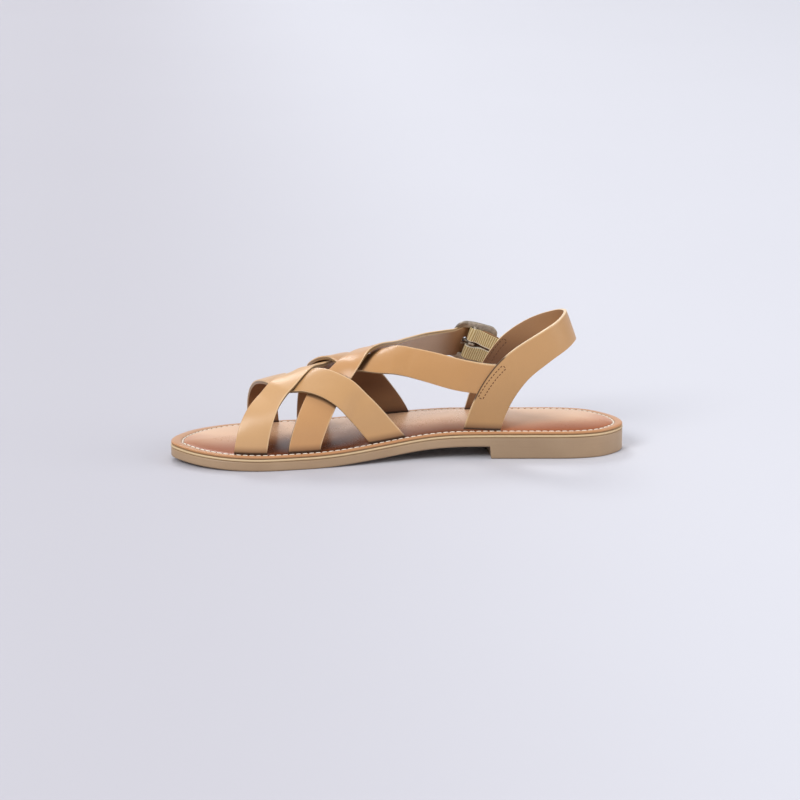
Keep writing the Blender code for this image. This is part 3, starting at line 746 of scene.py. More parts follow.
class Bench:
    """Models pieces with Blender's own operators."""

    MERGE_DISTANCE = 1e-6
    FLAT_DISTANCE = 1e-7
    STITCH_FACETS = 8
    STITCH_BLUNT = 0.7

    @staticmethod
    def clear() -> None:
        """Deselects everything, so that an operator acts on the new piece alone."""
        bpy.ops.object.select_all(action="DESELECT")

    @classmethod
    def pick(cls, *pieces: bpy.types.Object) -> None:
        """Selects pieces alone and makes the first one active.

        Args:
            pieces: what the next operator acts on.
        """
        cls.clear()
        for piece in pieces:
            piece.select_set(True)
        bpy.context.view_layer.objects.active = pieces[0]

    @classmethod
    def loft(cls, name: str, grid: Array, lay: Array | None = None, **numbers: Array) -> bpy.types.Object:
        """Skin through a grid of points, closed where points of its borders meet.

        Args:
            name: name of the piece.
            grid: rows by columns of points in millimetres.
            lay: rows by columns of vectors for the attribute that the finish reads.
            numbers: rows by columns of numbers for each further attribute, by its name.

        Returns:
            The piece, smooth-shaded, with its faces turned outwards.
        """
        rows, columns, _ = grid.shape
        cls.clear()
        bpy.ops.mesh.primitive_grid_add(x_subdivisions=columns - 1, y_subdivisions=rows - 1, size=2.0)
        piece = bpy.context.object
        piece.name = name
        piece.data.name = name
        flat = np.empty(len(piece.data.vertices) * 3)
        piece.data.vertices.foreach_get("co", flat)
        places = flat.reshape(-1, 3)
        at_column = np.rint((places[:, 0] + 1.0) / 2.0 * (columns - 1)).astype(int)
        at_row = np.rint((places[:, 1] + 1.0) / 2.0 * (rows - 1)).astype(int)
        piece.data.vertices.foreach_set("co", (grid[at_row, at_column] * MM).ravel())
        if lay is not None:
            mark = piece.data.attributes.new("lay", "FLOAT_VECTOR", "POINT")
            mark.data.foreach_set("vector", lay[at_row, at_column].ravel())
        for title, values in numbers.items():
            mark = piece.data.attributes.new(title, "FLOAT", "POINT")
            mark.data.foreach_set("value", values[at_row, at_column].ravel())
        piece.data.update()
        bpy.ops.object.mode_set(mode="EDIT")
        bpy.ops.mesh.select_all(action="SELECT")
        bpy.ops.mesh.remove_doubles(threshold=cls.MERGE_DISTANCE)
        bpy.ops.mesh.dissolve_degenerate(threshold=cls.FLAT_DISTANCE)
        bpy.ops.mesh.select_all(action="SELECT")
        bpy.ops.mesh.normals_make_consistent(inside=False)
        bpy.ops.object.mode_set(mode="OBJECT")
        bpy.ops.object.shade_smooth()
        return piece

    @classmethod
    def apply(cls, piece: bpy.types.Object, kind: str, **settings: Any) -> None:
        """Adds a modifier with its settings and applies it.

        Args:
            piece: the piece.
            kind: type of the modifier.
            settings: its properties by name.
        """
        cls.pick(piece)
        step = piece.modifiers.new(kind.lower(), kind)
        for name, value in settings.items():
            setattr(step, name, value)
        bpy.ops.object.modifier_apply(modifier=step.name)

    @classmethod
    def crisp(cls, piece: bpy.types.Object, degrees: float) -> None:
        """Smooth shading with sharp edges past an angle in degrees."""
        cls.pick(piece)
        bpy.ops.object.shade_smooth_by_angle(angle=math.radians(degrees))

    @classmethod
    def join(cls, pieces: Sequence[bpy.types.Object]) -> bpy.types.Object:
        """Joins pieces into the first one.

        Args:
            pieces: what is joined.

        Returns:
            The first piece.
        """
        cls.pick(*pieces)
        bpy.ops.object.join()
        return pieces[0]

    @classmethod
    def stitches(cls, name: str, seats: Sequence[tuple[Array, Array, Array]],
                 size: Triple) -> bpy.types.Object:
        """One stitch, modelled once and copied to every seat.

        Args:
            name: name of the joined piece.
            seats: centre, direction and outward normal of each stitch, in millimetres.
            size: length, width and height of a stitch.

        Returns:
            The joined stitches.
        """
        cls.clear()
        bpy.ops.mesh.primitive_uv_sphere_add(segments=cls.STITCH_FACETS, ring_count=cls.STITCH_FACETS,
                                             radius=0.5, rotation=(0.0, math.pi / 2, 0.0))
        pattern = bpy.context.object
        bpy.ops.object.transform_apply(location=False, rotation=True, scale=False)
        corners = np.array([v.co for v in pattern.data.vertices])
        faces = [tuple(face.vertices) for face in pattern.data.polygons]
        bpy.data.objects.remove(pattern, do_unlink=True)
        blunted = np.abs(corners[:, 0] * 2.0) ** cls.STITCH_BLUNT
        corners[:, 0] = np.sign(corners[:, 0]) * blunted / 2.0
        corners = corners * np.array(size)
        points = []
        skins = []
        for number, (centre, direction, normal) in enumerate(seats):
            side = unit(np.cross(normal, direction))
            basis = np.column_stack([unit(direction), side, unit(np.cross(direction, side))])
            points.append((centre + corners @ basis.T) * MM)
            skins += [tuple(i + number * len(corners) for i in face) for face in faces]
        mesh = bpy.data.meshes.new(name)
        mesh.from_pydata(np.concatenate(points).tolist(), [], skins)
        mesh.polygons.foreach_set("use_smooth", [True] * len(mesh.polygons))
        piece = bpy.data.objects.new(name, mesh)
        bpy.context.scene.collection.objects.link(piece)
        return piece

    @staticmethod
    def hand_over(piece: bpy.types.Object, material: bpy.types.Material, slot: Slot, *nodes: str) -> None:
        """Dresses a finished piece, attaches it to the body and hides the solids that it stands for.

        Args:
            piece: the piece.
            material: its finish.
            slot: the record's material slot; not used.
            nodes: solids that it stands for.
        """
        piece.data.materials.clear()
        piece.data.materials.append(material)
        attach(piece, BODY)
        if nodes:
            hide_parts(*nodes)
        LOG.info("%s: %d faces", piece.name, len(piece.data.polygons))


class Field:
    """A socket of a recipe, with arithmetic that adds Math nodes."""

    def __init__(self, recipe: "Recipe", socket: bpy.types.NodeSocket) -> None:
        """Wraps a socket."""
        self.recipe = recipe
        self.socket = socket

    def math(self, operation: str, first: Any, second: Any) -> "Field":
        """A Math node on two values."""
        return self.recipe.node("ShaderNodeMath", {"operation": operation}, {0: first, 1: second})

    def __add__(self, other: Any) -> "Field":
        """Sum."""
        return self.math("ADD", self, other)

    __radd__ = __add__

    def __sub__(self, other: Any) -> "Field":
        """Difference."""
        return self.math("SUBTRACT", self, other)

    def __rsub__(self, other: Any) -> "Field":
        """Difference from a number."""
        return self.math("SUBTRACT", other, self)

    def __mul__(self, other: Any) -> "Field":
        """Product."""
        return self.math("MULTIPLY", self, other)

    __rmul__ = __mul__

    def __abs__(self) -> "Field":
        """Size without sign."""
        return self.math("ABSOLUTE", self, 0.0)

    def wave(self) -> "Field":
        """Sine of an angle in radians."""
        return self.math("SINE", self, 0.0)

    def step(self, low: float, high: float) -> "Field":
        """Smooth step from 0 at low to 1 at high."""
        return self.recipe.node(
            "ShaderNodeMapRange", {"interpolation_type": "SMOOTHSTEP"},
            {"Value": self, "From Min": low, "From Max": high},
        )

    def within(self, stretch: Stretch) -> "Field":
        """1 inside a stretch and 0 outside it."""
        return self.step(stretch.start, stretch.full) * (1.0 - self.step(stretch.fade, stretch.stop))


class Recipe:
    """A material under construction."""

    def __init__(self, name: str) -> None:
        """Starts an empty node material.

        Args:
            name: name of the material.
        """
        self.material = bpy.data.materials.new(name)
        self.material.use_nodes = True
        self.tree = self.material.node_tree
        self.tree.nodes.clear()
        self.end = self.tree.nodes.new("ShaderNodeOutputMaterial")

    def node(self, kind: str, settings: dict[str, Any] | None = None, inputs: dict[Any, Any] | None = None,
             output: int | str = 0) -> Field:
        """Adds a node.

        Args:
            kind: the node's type.
            settings: properties set before the inputs.
            inputs: values or fields by socket name or number.
            output: socket that is handed back.

        Returns:
            The output as a field.
        """
        made = self.tree.nodes.new(kind)
        for name, value in (settings or {}).items():
            setattr(made, name, value)
        for key, value in (inputs or {}).items():
            if isinstance(value, Field):
                self.tree.links.new(value.socket, made.inputs[key])
            else:
                made.inputs[key].default_value = value
        return Field(self, made.outputs[output])

    def place(self) -> Field:
        """Object coordinates, in metres."""
        return self.node("ShaderNodeTexCoord", output="Object")

    def split(self, vector: Field) -> tuple[Field, ...]:
        """The three numbers of a vector."""
        parts = self.node("ShaderNodeSeparateXYZ", inputs={0: vector})
        return tuple(Field(self, parts.socket.node.outputs[i]) for i in range(3))

    def lay(self) -> tuple[Field, ...]:
        """The three numbers of the piece's own lay attribute."""
        return self.split(self.node("ShaderNodeAttribute", {"attribute_name": "lay"}, output="Vector"))

    def number(self, name: str) -> Field:
        """A number that the piece carries as an attribute."""
        return self.node("ShaderNodeAttribute", {"attribute_name": name}, output="Fac")

    def vector(self, x: Any, y: Any, z: Any) -> Field:
        """A vector from three numbers."""
        return self.node("ShaderNodeCombineXYZ", inputs={0: x, 1: y, 2: z})

    def noise(self, place: Field, scale: float, detail: float = 2.0, rough: float = 0.5) -> Field:
        """Soft noise around one half."""
        return self.node("ShaderNodeTexNoise", None,
                         {"Vector": place, "Scale": scale, "Detail": detail, "Roughness": rough}, "Fac")

    def cells(self, place: Field, scale: float) -> Field:
        """Distance to the nearest of many scattered points."""
        return self.node("ShaderNodeTexVoronoi", {"feature": "F1"},
                         {"Vector": place, "Scale": scale}, "Distance")

    @staticmethod
    def paint(colour: Any) -> Any:
        """A field as it is, or a plain colour with its alpha."""
        return colour if isinstance(colour, Field) else (*colour, 1.0)

    def mix(self, share: Any, first: Any, second: Any) -> Field:
        """Blend of two colours."""
        return self.node("ShaderNodeMix", {"data_type": "RGBA"},
                         {0: share, 6: self.paint(first), 7: self.paint(second)}, 2)

    def shade(self, colour: Any, amount: Field) -> Field:
        """A colour made lighter or darker by a number around one."""
        grey = self.node("ShaderNodeCombineColor", inputs={0: amount, 1: amount, 2: amount})
        return self.node("ShaderNodeMix", {"data_type": "RGBA", "blend_type": "MULTIPLY"},
                         {0: 1.0, 6: self.paint(colour), 7: grey}, 2)

    def bump(self, height: Field, depth_mm: float) -> Field:
        """Relief of a depth in millimetres."""
        return self.node("ShaderNodeBump", None,
                         {"Strength": 1.0, "Distance": depth_mm * MM, "Height": height})

    def finish(self, colour: Any, rough: Any, normal: Field | None = None,
               **constants: float) -> bpy.types.Material:
        """Closes the recipe with a Principled shader.

        Args:
            colour: base colour.
            rough: roughness.
            normal: relief.
            constants: further sockets by name, with spaces written as underscores.

        Returns:
            The material.
        """
        inputs: dict[str, Any] = {"Roughness": rough, "Base Color": self.paint(colour)}
        if normal is not None:
            inputs["Normal"] = normal
        inputs.update({name.replace("_", " "): value for name, value in constants.items()})
        shader = self.node("ShaderNodeBsdfPrincipled", None, inputs)
        self.tree.links.new(shader.socket, self.end.inputs["Surface"])
        return self.material


def srgb(red: int, green: int, blue: int) -> Colour:
    """Linear colour from the usual eight-bit numbers.

    Args:
        red: 0 to 255.
        green: 0 to 255.
        blue: 0 to 255.

    Returns:
        The colour.
    """
    parts = np.array([red, green, blue]) / 255.0
    linear = np.where(parts <= 0.04045, parts / 12.92, ((parts + 0.055) / 1.055) ** 2.4)
    return tuple(float(v) for v in linear)


@dataclass(frozen=True)
class StrapLeather:
    """Smooth tan leather with a brown lining and cut edges that show both layers."""

    name: str
    grain_and_shade: Colour
    half_width: float = 8.0
    highlight_side: float = -1.0
    edge_shadow_stretch: Stretch = NOWHERE
    painted_low_shade: float = 0.0
    seam_share: float = 0.8
    sheen_stretch: Stretch = NOWHERE
    lining: Colour = srgb(162, 121, 82)
    lining_sheen: Colour = srgb(212, 196, 178)
    lining_shaded: Colour = srgb(112, 76, 48)
    rim: Colour = srgb(238, 208, 164)
    edge: Colour = srgb(156, 124, 84)
    seam: Colour = srgb(78, 55, 33)
    tuck_shade: Colour = srgb(62, 40, 24)
    foot_shade: Colour = srgb(92, 56, 36)
    slot_shade: Colour = srgb(38, 24, 15)
    thickness: float = 2.2
    glue_line: float = 0.95
    # Heights over the insole and depths in the leather, in millimetres.
    foot_reach: Pair = (-0.4, 5.2)
    slot_reach: Pair = (0.5, 1.5)
    painted_low_shade_reach: Pair = (4.0, 50.0)
    high_light: Pair = (26.0, 50.0)
    low_light: Pair = (6.0, 20.0)
    rim_depth: Pair = (1.6, 1.85)
    lining_depth: Pair = (0.03, 0.14)
    # Margins from the outer face and from the strap's edge, in millimetres.
    grain_band: Pair = (0.22, 0.06)
    highlight_band: Pair = (0.9, 0.4)
    cloud_scale: float = 38.0
    fine_scale: float = 1500.0
    pore_scale: float = 1700.0
    roughness: float = 0.35
    relief_mm: float = 0.04
    specular: float = 0.5

    def make(self) -> bpy.types.Material:
        """The material, read from distance, offset and depth in the strap and its height over the insole.

        Returns:
            The finished material.
        """
        mix = Recipe(self.name)
        along, across, depth = mix.lay()
        place = mix.place()
        cloud = mix.noise(place, self.cloud_scale, 3.0, 0.5)
        fine = mix.noise(place, self.fine_scale, 2.0, 0.6)
        pores = mix.cells(place, self.pore_scale)
        foot = mix.number("foot")
        # Painted shade: the grain is made darker towards the insole, where less light falls.
        low_shade = (1.0 - foot.step(*self.painted_low_shade_reach)) * self.painted_low_shade
        outer = mix.shade(self.grain_and_shade, 0.92 + fine * 0.06 + cloud * 0.1 - low_shade)
        # Painted shade: the lining is darker at middle heights inside the straps and lighter low down and
        # high up, where more light reaches it.
        lit = foot.step(*self.high_light) + (1.0 - foot.step(*self.low_light)) * 0.5
        inner = mix.mix(lit, self.lining_shaded, self.lining)
        # Painted sheen: over this stretch the lining is paler, standing in for a glancing reflection.
        inner = mix.mix(along.within(self.sheen_stretch) * 0.9, inner, self.lining_sheen)
        inner = mix.shade(inner, 0.85 + fine * 0.14 + cloud * 0.16)
        fibre = mix.noise(mix.vector(along * 0.7, depth * 2.5, across * 0.3), 1.0, 3.0, 0.6)
        # Painted shadow: over this stretch the slingback's front edge and the band beside it are dark, where
        # the leg laps the strap below.
        edge_shadow = along.within(self.edge_shadow_stretch)
        cut = mix.mix(depth.step(*self.rim_depth), self.edge, self.rim)
        cut = mix.shade(cut, 0.85 + fibre * 0.3)
        cut = mix.mix((1.0 - abs(depth - self.glue_line).step(0.02, 0.3)) * self.seam_share, cut, self.seam)
        cut = mix.mix(edge_shadow * 0.9, cut, self.seam)
        # Painted highlight: a pale line on the outer face along one edge, standing in for the light that the
        # rounded edge catches.
        scuff_and_edge_highlight = (across * self.highlight_side).step(*(self.half_width - margin for margin in self.highlight_band))
        outer = mix.mix(scuff_and_edge_highlight * (0.4 + edge_shadow * 0.55), outer, mix.mix(edge_shadow, self.rim, self.seam))
        outer = mix.mix(mix.number("tuck") * 0.88, outer, self.tuck_shade)
        on_grain = depth.step(*(self.thickness - margin for margin in self.grain_band))
        on_lining = 1.0 - depth.step(*self.lining_depth)
        colour = mix.mix(on_lining, mix.mix(on_grain, cut, outer), inner)
        colour = mix.mix((1.0 - foot.step(*self.foot_reach)) * 0.8, colour, self.foot_shade)
        colour = mix.mix((1.0 - foot.step(*self.slot_reach)) * 0.85, colour, self.slot_shade)
        rough = self.roughness + (cloud - 0.5) * 0.12 + on_lining * 0.16 + (fine - 0.5) * 0.08
        relief = pores * 0.6 + fine * 0.5 + cloud * 0.6
        return mix.finish(colour, rough, mix.bump(relief, self.relief_mm), Specular_IOR_Level=self.specular)


@dataclass(frozen=True)
class FootbedLeather:
    """Warm lining leather with a soft gloss and a darker turned edge, with painted sheen and painted shade on
    its top.
    """

    # middle is the paler colour that carries the painted sheen.
    middle: Colour = srgb(226, 182, 144)
    warm: Colour = srgb(186, 116, 70)
    # near is the colour of the painted shade along the footbed's inner side.
    near: Colour = srgb(148, 76, 38)
    border: Colour = srgb(194, 141, 98)
    edge: Colour = srgb(172, 128, 90)
    seam_margin: float = 4.4
    # Bands across and along the footbed, in metres of its own coordinates.
    sheen_band: Pair = (-0.004, 0.02)
    inner_side_shade_band: Pair = (-0.03, 0.002)
    under_strap_shade_band: Pair = (-0.034, 0.012)
    under_strap_shade: Stretch = Stretch(-0.094, -0.076, 0.03, 0.06)
    cloud_scale: float = 22.0
    fine_scale: float = 1400.0
    pore_scale: float = 1100.0
    roughness: float = 0.28
    relief_mm: float = 0.035
    specular: float = 0.2

    def make(self) -> bpy.types.Material:
        """The material, read from the margin to the edge and the height in the layer.

        Returns:
            The finished material.
        """
        mix = Recipe("footbed_leather")
        margin, height, _ = mix.lay()
        place = mix.place()
        along, across, _ = mix.split(place)
        cloud = mix.noise(place, self.cloud_scale, 3.0, 0.5)
        fine = mix.noise(place, self.fine_scale, 2.0, 0.6)
        pores = mix.cells(place, self.pore_scale)
        # Partly random tone, partly painted sheen: the footbed is paler towards its middle and towards its
        # outer side (+Y).
        tone_and_sheen = cloud * 0.8 + margin.step(5.0, 24.0) * 0.3 + across.step(*self.sheen_band) * 0.5
        inside = mix.mix(tone_and_sheen.step(0.3, 0.9), self.warm, self.middle)
        # Painted shade: the footbed is darker and redder along its inner side (-Y).
        inside = mix.mix((1.0 - across.step(*self.inner_side_shade_band)) * 0.85, inside, self.near)
        # Painted shade: the forefoot's inner half is darker under the woven straps.
        under_strap_shade = along.within(self.under_strap_shade) * (1.0 - across.step(*self.under_strap_shade_band))
        inside = mix.shade(inside, 1.0 - under_strap_shade * 0.6)
        colour = mix.mix(margin.step(self.seam_margin - 0.5, self.seam_margin + 0.5), self.border, inside)
        # Painted shade: darker along the seam's groove.
        seam_groove_shade = 1.0 - abs(margin - self.seam_margin).step(0.2, 1.3)
        colour = mix.shade(colour, 1.0 - seam_groove_shade * 0.45 + (fine - 0.5) * 0.07)
        turned = 1.0 - height.step(0.5, 1.0)
        colour = mix.mix(turned, colour, self.edge)
        rough = self.roughness + (cloud - 0.5) * 0.14 + turned * 0.25 + (fine - 0.5) * 0.06
        relief = pores * 0.5 + fine * 0.6 + cloud * 0.4
        return mix.finish(colour, rough, mix.bump(relief, self.relief_mm), Specular_IOR_Level=self.specular)


@dataclass(frozen=True)
class MidsoleBoard:
    """Pale cut edge of the layer between insole and rubber."""

    pale: Colour = srgb(214, 189, 149)
    brown: Colour = srgb(190, 152, 108)

    def make(self) -> bpy.types.Material:
        """The material, with fibres along the cut.

        Returns:
            The finished material.
        """
        mix = Recipe("midsole_board")
        _, height, along = mix.lay()
        fibre = mix.noise(mix.vector(along * 0.25, height * 4.0, 0.0), 1.0, 3.0, 0.6)
        fine = mix.noise(mix.place(), 900.0, 2.0)
        under = 1.0 - height.step(0.1, 0.45)
        colour = mix.mix((fibre * 0.9 + under * 0.5).step(0.35, 1.0), self.pale, self.brown)
        return mix.finish(colour, 0.55 + (fine - 0.5) * 0.2, mix.bump(fibre + fine * 0.4, 0.06))


@dataclass(frozen=True)
class UnitRubber:
    """Greyish tan rubber with a satin skin, and a fine tread underneath."""

    light: Colour = srgb(180, 152, 121)
    dark: Colour = srgb(166, 137, 107)
    scuff: Colour = srgb(122, 98, 74)
    rib_pitch: float = 3.2
    shaded: Stretch = Stretch(10.0, 60.0, 80.0, 116.0)
    # How fast and how far the ribs swing across the sole.
    rib_swing: Pair = (0.16, 2.0)
    relief_mm: float = 0.6

    def make(self) -> bpy.types.Material:
        """The material, read from the margin, the height over the ground side and the station.

        Returns:
            The finished material.
        """
        mix = Recipe("unit_rubber")
        margin, height, along = mix.lay()
        place = mix.place()
        cloud = mix.noise(place, 30.0, 3.0, 0.55)
        fine = mix.noise(place, 1100.0, 2.0)
        brushed = mix.noise(mix.vector(along * 0.05, height * 2.2, margin * 0.2), 1.0, 2.0)
        colour = mix.mix((cloud * 0.85 + brushed * 0.2).step(0.25, 0.85), self.dark, self.light)
        # In the rubber this mask is real scuffing near the ground side.
        scuff_and_edge_highlight = (1.0 - height.step(0.2, 1.1)) * cloud.step(0.4, 0.7)
        colour = mix.mix(scuff_and_edge_highlight * 0.5, colour, self.scuff)
        colour = mix.shade(colour, 0.95 + fine * 0.06 - along.within(self.shaded) * 0.14)
        under = margin.step(2.0, 3.0) * (1.0 - height.step(0.02, 0.1))
        across = mix.split(place)[1] * (1.0 / MM)
        wavy = along + (across * self.rib_swing[0]).wave() * self.rib_swing[1]
        ribs = (wavy * (2.0 * math.pi / self.rib_pitch)).wave().step(-0.5, 0.5)
        colour = mix.shade(colour, 1.0 - under * (1.0 - ribs) * 0.3)
        relief = fine * 0.05 + brushed * 0.015 + under * ribs
        rough = 0.43 + (cloud - 0.5) * 0.18 + scuff_and_edge_highlight * 0.2
        return mix.finish(colour, rough, mix.bump(relief, self.relief_mm), Specular_IOR_Level=0.45)


@dataclass(frozen=True)
class Thread:
    """Twisted sewing thread."""

    name: str
    colour: Colour
    shadow: Colour

    def make(self) -> bpy.types.Material:
        """The material, with a fine twist.

        Returns:
            The finished material.
        """
        mix = Recipe(self.name)
        twist = mix.noise(mix.place(), 2600.0, 2.0)
        colour = mix.mix(twist.step(0.3, 0.7), self.shadow, self.colour)
        return mix.finish(colour, 0.7 + (twist - 0.5) * 0.2, mix.bump(twist, 0.06))


@dataclass(frozen=True)
class BandWeave:
    """Cream elastic with ribs across its length."""

    name: str
    tone: float
    cream: Colour = srgb(214, 196, 150)
    ochre: Colour = srgb(166, 136, 82)
    edge: Colour = srgb(236, 228, 208)

    def make(self) -> bpy.types.Material:
        """The material, read from distance, offset and rib height.

        Returns:
            The finished material.
        """
        mix = Recipe(self.name)
        along, across, rib = mix.lay()
        strand = mix.noise(mix.vector(along * 0.6, across * 3.0, rib), 1.0, 3.0, 0.6)
        colour = mix.mix((rib * 0.8 + strand * 0.4).step(0.25, 0.85), self.ochre, self.cream)
        colour = mix.mix(across.step(0.82, 0.95) * 0.8, colour, self.edge)
        colour = mix.shade(colour, 0.97 * self.tone + strand * 0.06)
        threads = ((across * 40.0).wave() * 0.5 + 0.5) * 0.5 + strand * 0.5
        return mix.finish(colour, 0.85 + (strand - 0.5) * 0.1, mix.bump(threads, 0.08), Sheen_Weight=0.2)


@dataclass(frozen=True)
class AgedMetal:
    """Antique grey-brown plated metal, lighter where it is rubbed."""

    name: str = "aged_metal"
    dark: Colour = srgb(118, 106, 92)
    bright: Colour = srgb(196, 184, 168)

    def make(self) -> bpy.types.Material:
        """The material, with tarnish and fine scratches.

        Returns:
            The finished material.
        """
        mix = Recipe(self.name)
        place = mix.place()
        tarnish = mix.noise(place, 260.0, 4.0, 0.6)
        drawn_out = mix.node("ShaderNodeMapping", None, {"Vector": place, "Scale": (1.0, 1.0, 9.0)})
        scratch = mix.noise(drawn_out, 700.0, 2.0)
        colour = mix.mix((tarnish * 0.7 + scratch * 0.35).step(0.3, 0.75), self.dark, self.bright)
        rough = 0.5 + (tarnish - 0.5) * 0.3 + (scratch - 0.5) * 0.12
        return mix.finish(colour, rough, mix.bump(tarnish * 0.6 + scratch * 0.4, 0.04), Metallic=0.75)


@dataclass
class Sole:
    """Rubber unit, midsole, padded insole and its seam."""

    form: SoleForm
    stations: int = 110
    stitch_pitch: float = 3.65
    stitch: Triple = (2.95, 0.95, 0.75)
    stitch_level: float = 1.34
    spine_margin: float = 28.0
    seam_stations: int = 400
    breast_reach: float = 1.0
    bevel: float = 0.45
    bevel_angle: float = 55.0
    sharp_angle: float = 40.0

    def layer(self, name: str, profile: Sequence[tuple[float, float, bool]], bottom: Callable[[Array], Array],
              top: Callable[[Array], Array], extra: Sequence[float] = (),
              seamed: bool = False) -> bpy.types.Object:
        """A layer of the sole from its edge profile.

        Args:
            name: name of the piece.
            profile: margin, level and whether the level counts from the top, from spine to spine.
            bottom: underside of the layer by station.
            top: top of the layer by station.
            extra: stations that its outline has to pass.
            seamed: whether its rings follow the insole's seam.

        Returns:
            The closed piece.
        """
        loop = self.form.loop(self.stations, extra)
        stations = loop[0][:, 0]
        rings = []
        marks = []
        for margin, level, from_top in profile:
            plan = self.form.inset(loop, margin, seamed)
            x = plan[:, 0]
            at_breast = np.abs(stations - self.form.breast) < self.breast_reach
            base = bottom(np.where(at_breast, stations, x))
            z = top(x) + level if from_top else base + level
            height = z - base
            rings.append(np.column_stack([plan, z]))
            marks.append(np.column_stack([np.full_like(x, margin), height, x]))
        return Bench.loft(name, np.array(rings), np.array(marks))

    def build_unit(self) -> bpy.types.Object:
        """Rubber unit with its heel block and breast.

        Returns:
            The closed piece.
        """
        flat = self.form.flat_margin
        profile = (
            (self.spine_margin, 0.0, False), (flat, 0.0, False), (6.0, 0.0, False), (1.4, 0.0, False),
            (0.7, 0.06, False), (0.25, 0.3, False), (0.04, 0.8, False), (0.0, 1.5, False),
            (0.0, -3.4, True), (0.0, -1.6, True), (0.02, -0.6, True), (0.14, -0.2, True), (0.4, 0.0, True),
            (1.4, 0.0, True), (flat, 0.0, True), (self.spine_margin, 0.0, True),
        )
        breast = (self.form.breast, self.form.breast + self.form.breast_draft)
        unit_piece = self.layer("rubber_unit", profile, self.form.ground_side, self.form.unit_top, breast)
        Bench.apply(unit_piece, "BEVEL", width=self.bevel * MM, segments=2, limit_method="ANGLE",
                    angle_limit=math.radians(self.bevel_angle))
        Bench.crisp(unit_piece, self.sharp_angle)
        return unit_piece

    def build_midsole(self) -> bpy.types.Object:
        """Thin layer whose cut edge stands a little proud.

        Returns:
            The closed piece.
        """
        flat = self.form.flat_margin
        profile = (
            (self.spine_margin, -0.2, False), (flat, -0.2, False), (0.5, -0.2, False), (0.12, -0.1, False),
            (-0.1, 0.25, False), (-0.15, 0.6, False), (-0.1, 0.9, False), (0.12, 1.14, False),
            (0.5, 1.2, False), (flat, 1.2, False), (self.spine_margin, 1.2, False),
        )
        return self.layer("midsole_layer", profile, self.form.midsole_bottom, self.form.midsole_bottom)

    def build_footbed(self) -> bpy.types.Object:
        """Insole with a turned edge, a groove for the seam and a padded middle.

        Returns:
            The closed piece.
        """
        flat = self.form.flat_margin
        profile = (
            (self.spine_margin, 0.0, False), (flat, 0.0, False), (0.8, 0.0, False), (0.3, 0.08, False),
            (0.08, 0.3, False), (0.02, 0.6, False), (0.04, 0.95, False), (0.14, 1.22, False),
            (0.4, 1.4, False), (0.9, 1.48, False), (2.2, 1.52, False), (3.4, 1.48, False), (4.0, 1.36, False),
            (self.form.seam_margin, 1.2, False), (4.8, 1.36, False), (5.5, 1.62, False), (6.6, 1.86, False),
            (8.5, 2.1, False), (11.0, 2.32, False), (flat, 2.53, False), (flat + 4.0, 2.77, False),
            (flat + 9.0, 2.94, False), (self.spine_margin, 3.0, False),
        )
        return self.layer("footbed", profile, self.form.insole_bottom, self.form.insole_bottom, seamed=True)

    def build_seam(self) -> bpy.types.Object:
        """Seam of pale stitches all round the insole.

        Returns:
            The joined stitches.
        """
        plan = self.form.inset(self.form.loop(self.seam_stations), self.form.seam_margin, True)
        path = np.column_stack([plan, self.form.insole_bottom(plan[:, 0]) + self.stitch_level])
        seats = seam_seats(path, straight_up, self.stitch_pitch)
        return Bench.stitches("footbed_seam", seats, self.stitch)

    def build(self) -> None:
        """Makes, dresses and hands over the sole."""
        Bench.hand_over(self.build_unit(), UnitRubber().make(), Slot.OUTSOLE, "outsole")
        Bench.hand_over(self.build_midsole(), MidsoleBoard().make(), Slot.MIDSOLE, "midsole")
        footbed = self.build_footbed()
        Bench.hand_over(footbed, FootbedLeather().make(), Slot.INSOLE, "insole")
        thread = Thread("pale_thread", srgb(252, 246, 234), srgb(226, 212, 190))
        Bench.hand_over(self.build_seam(), thread.make(), Slot.INSOLE)


def straight_up(place: Array) -> Array:
    """The upward normal, the same at every place."""
    return np.broadcast_to([0.0, 0.0, 1.0], place.shape)


def seam_seats(path: Array, normal_at: Callable[[Array], Array],
               pitch: float) -> list[tuple[Array, Array, Array]]:
    """Seats of stitches along a path.

    Args:
        path: points of the seam in millimetres.
        normal_at: outward normal at a point.
        pitch: distance from stitch to stitch.

    Returns:
        Centre, direction and normal of each stitch.
    """
    run = run_length(path)
    count = max(int(round(run[-1] / pitch)), 1)
    places = (np.arange(count) + 0.5) * run[-1] / count

    def at(distance: Array) -> Array:
        """Points of the path at distances along it."""
        return np.column_stack([np.interp(distance, run, path[:, axis]) for axis in range(3)])

    centres = at(places)
    directions = at(np.minimum(places + SEAM_REACH, run[-1])) - at(np.maximum(places - SEAM_REACH, 0.0))
    return [(c, unit(d), normal_at(c)) for c, d in zip(centres, directions)]


def closed_ends(grid: Array) -> Array:
    """Adds a first and a last row in which all points meet, so that a skin is closed there."""
    ends = [np.broadcast_to(grid[row].mean(axis=0), grid[row].shape)[None] for row in (0, -1)]
    return np.concatenate([ends[0], grid, ends[1]])


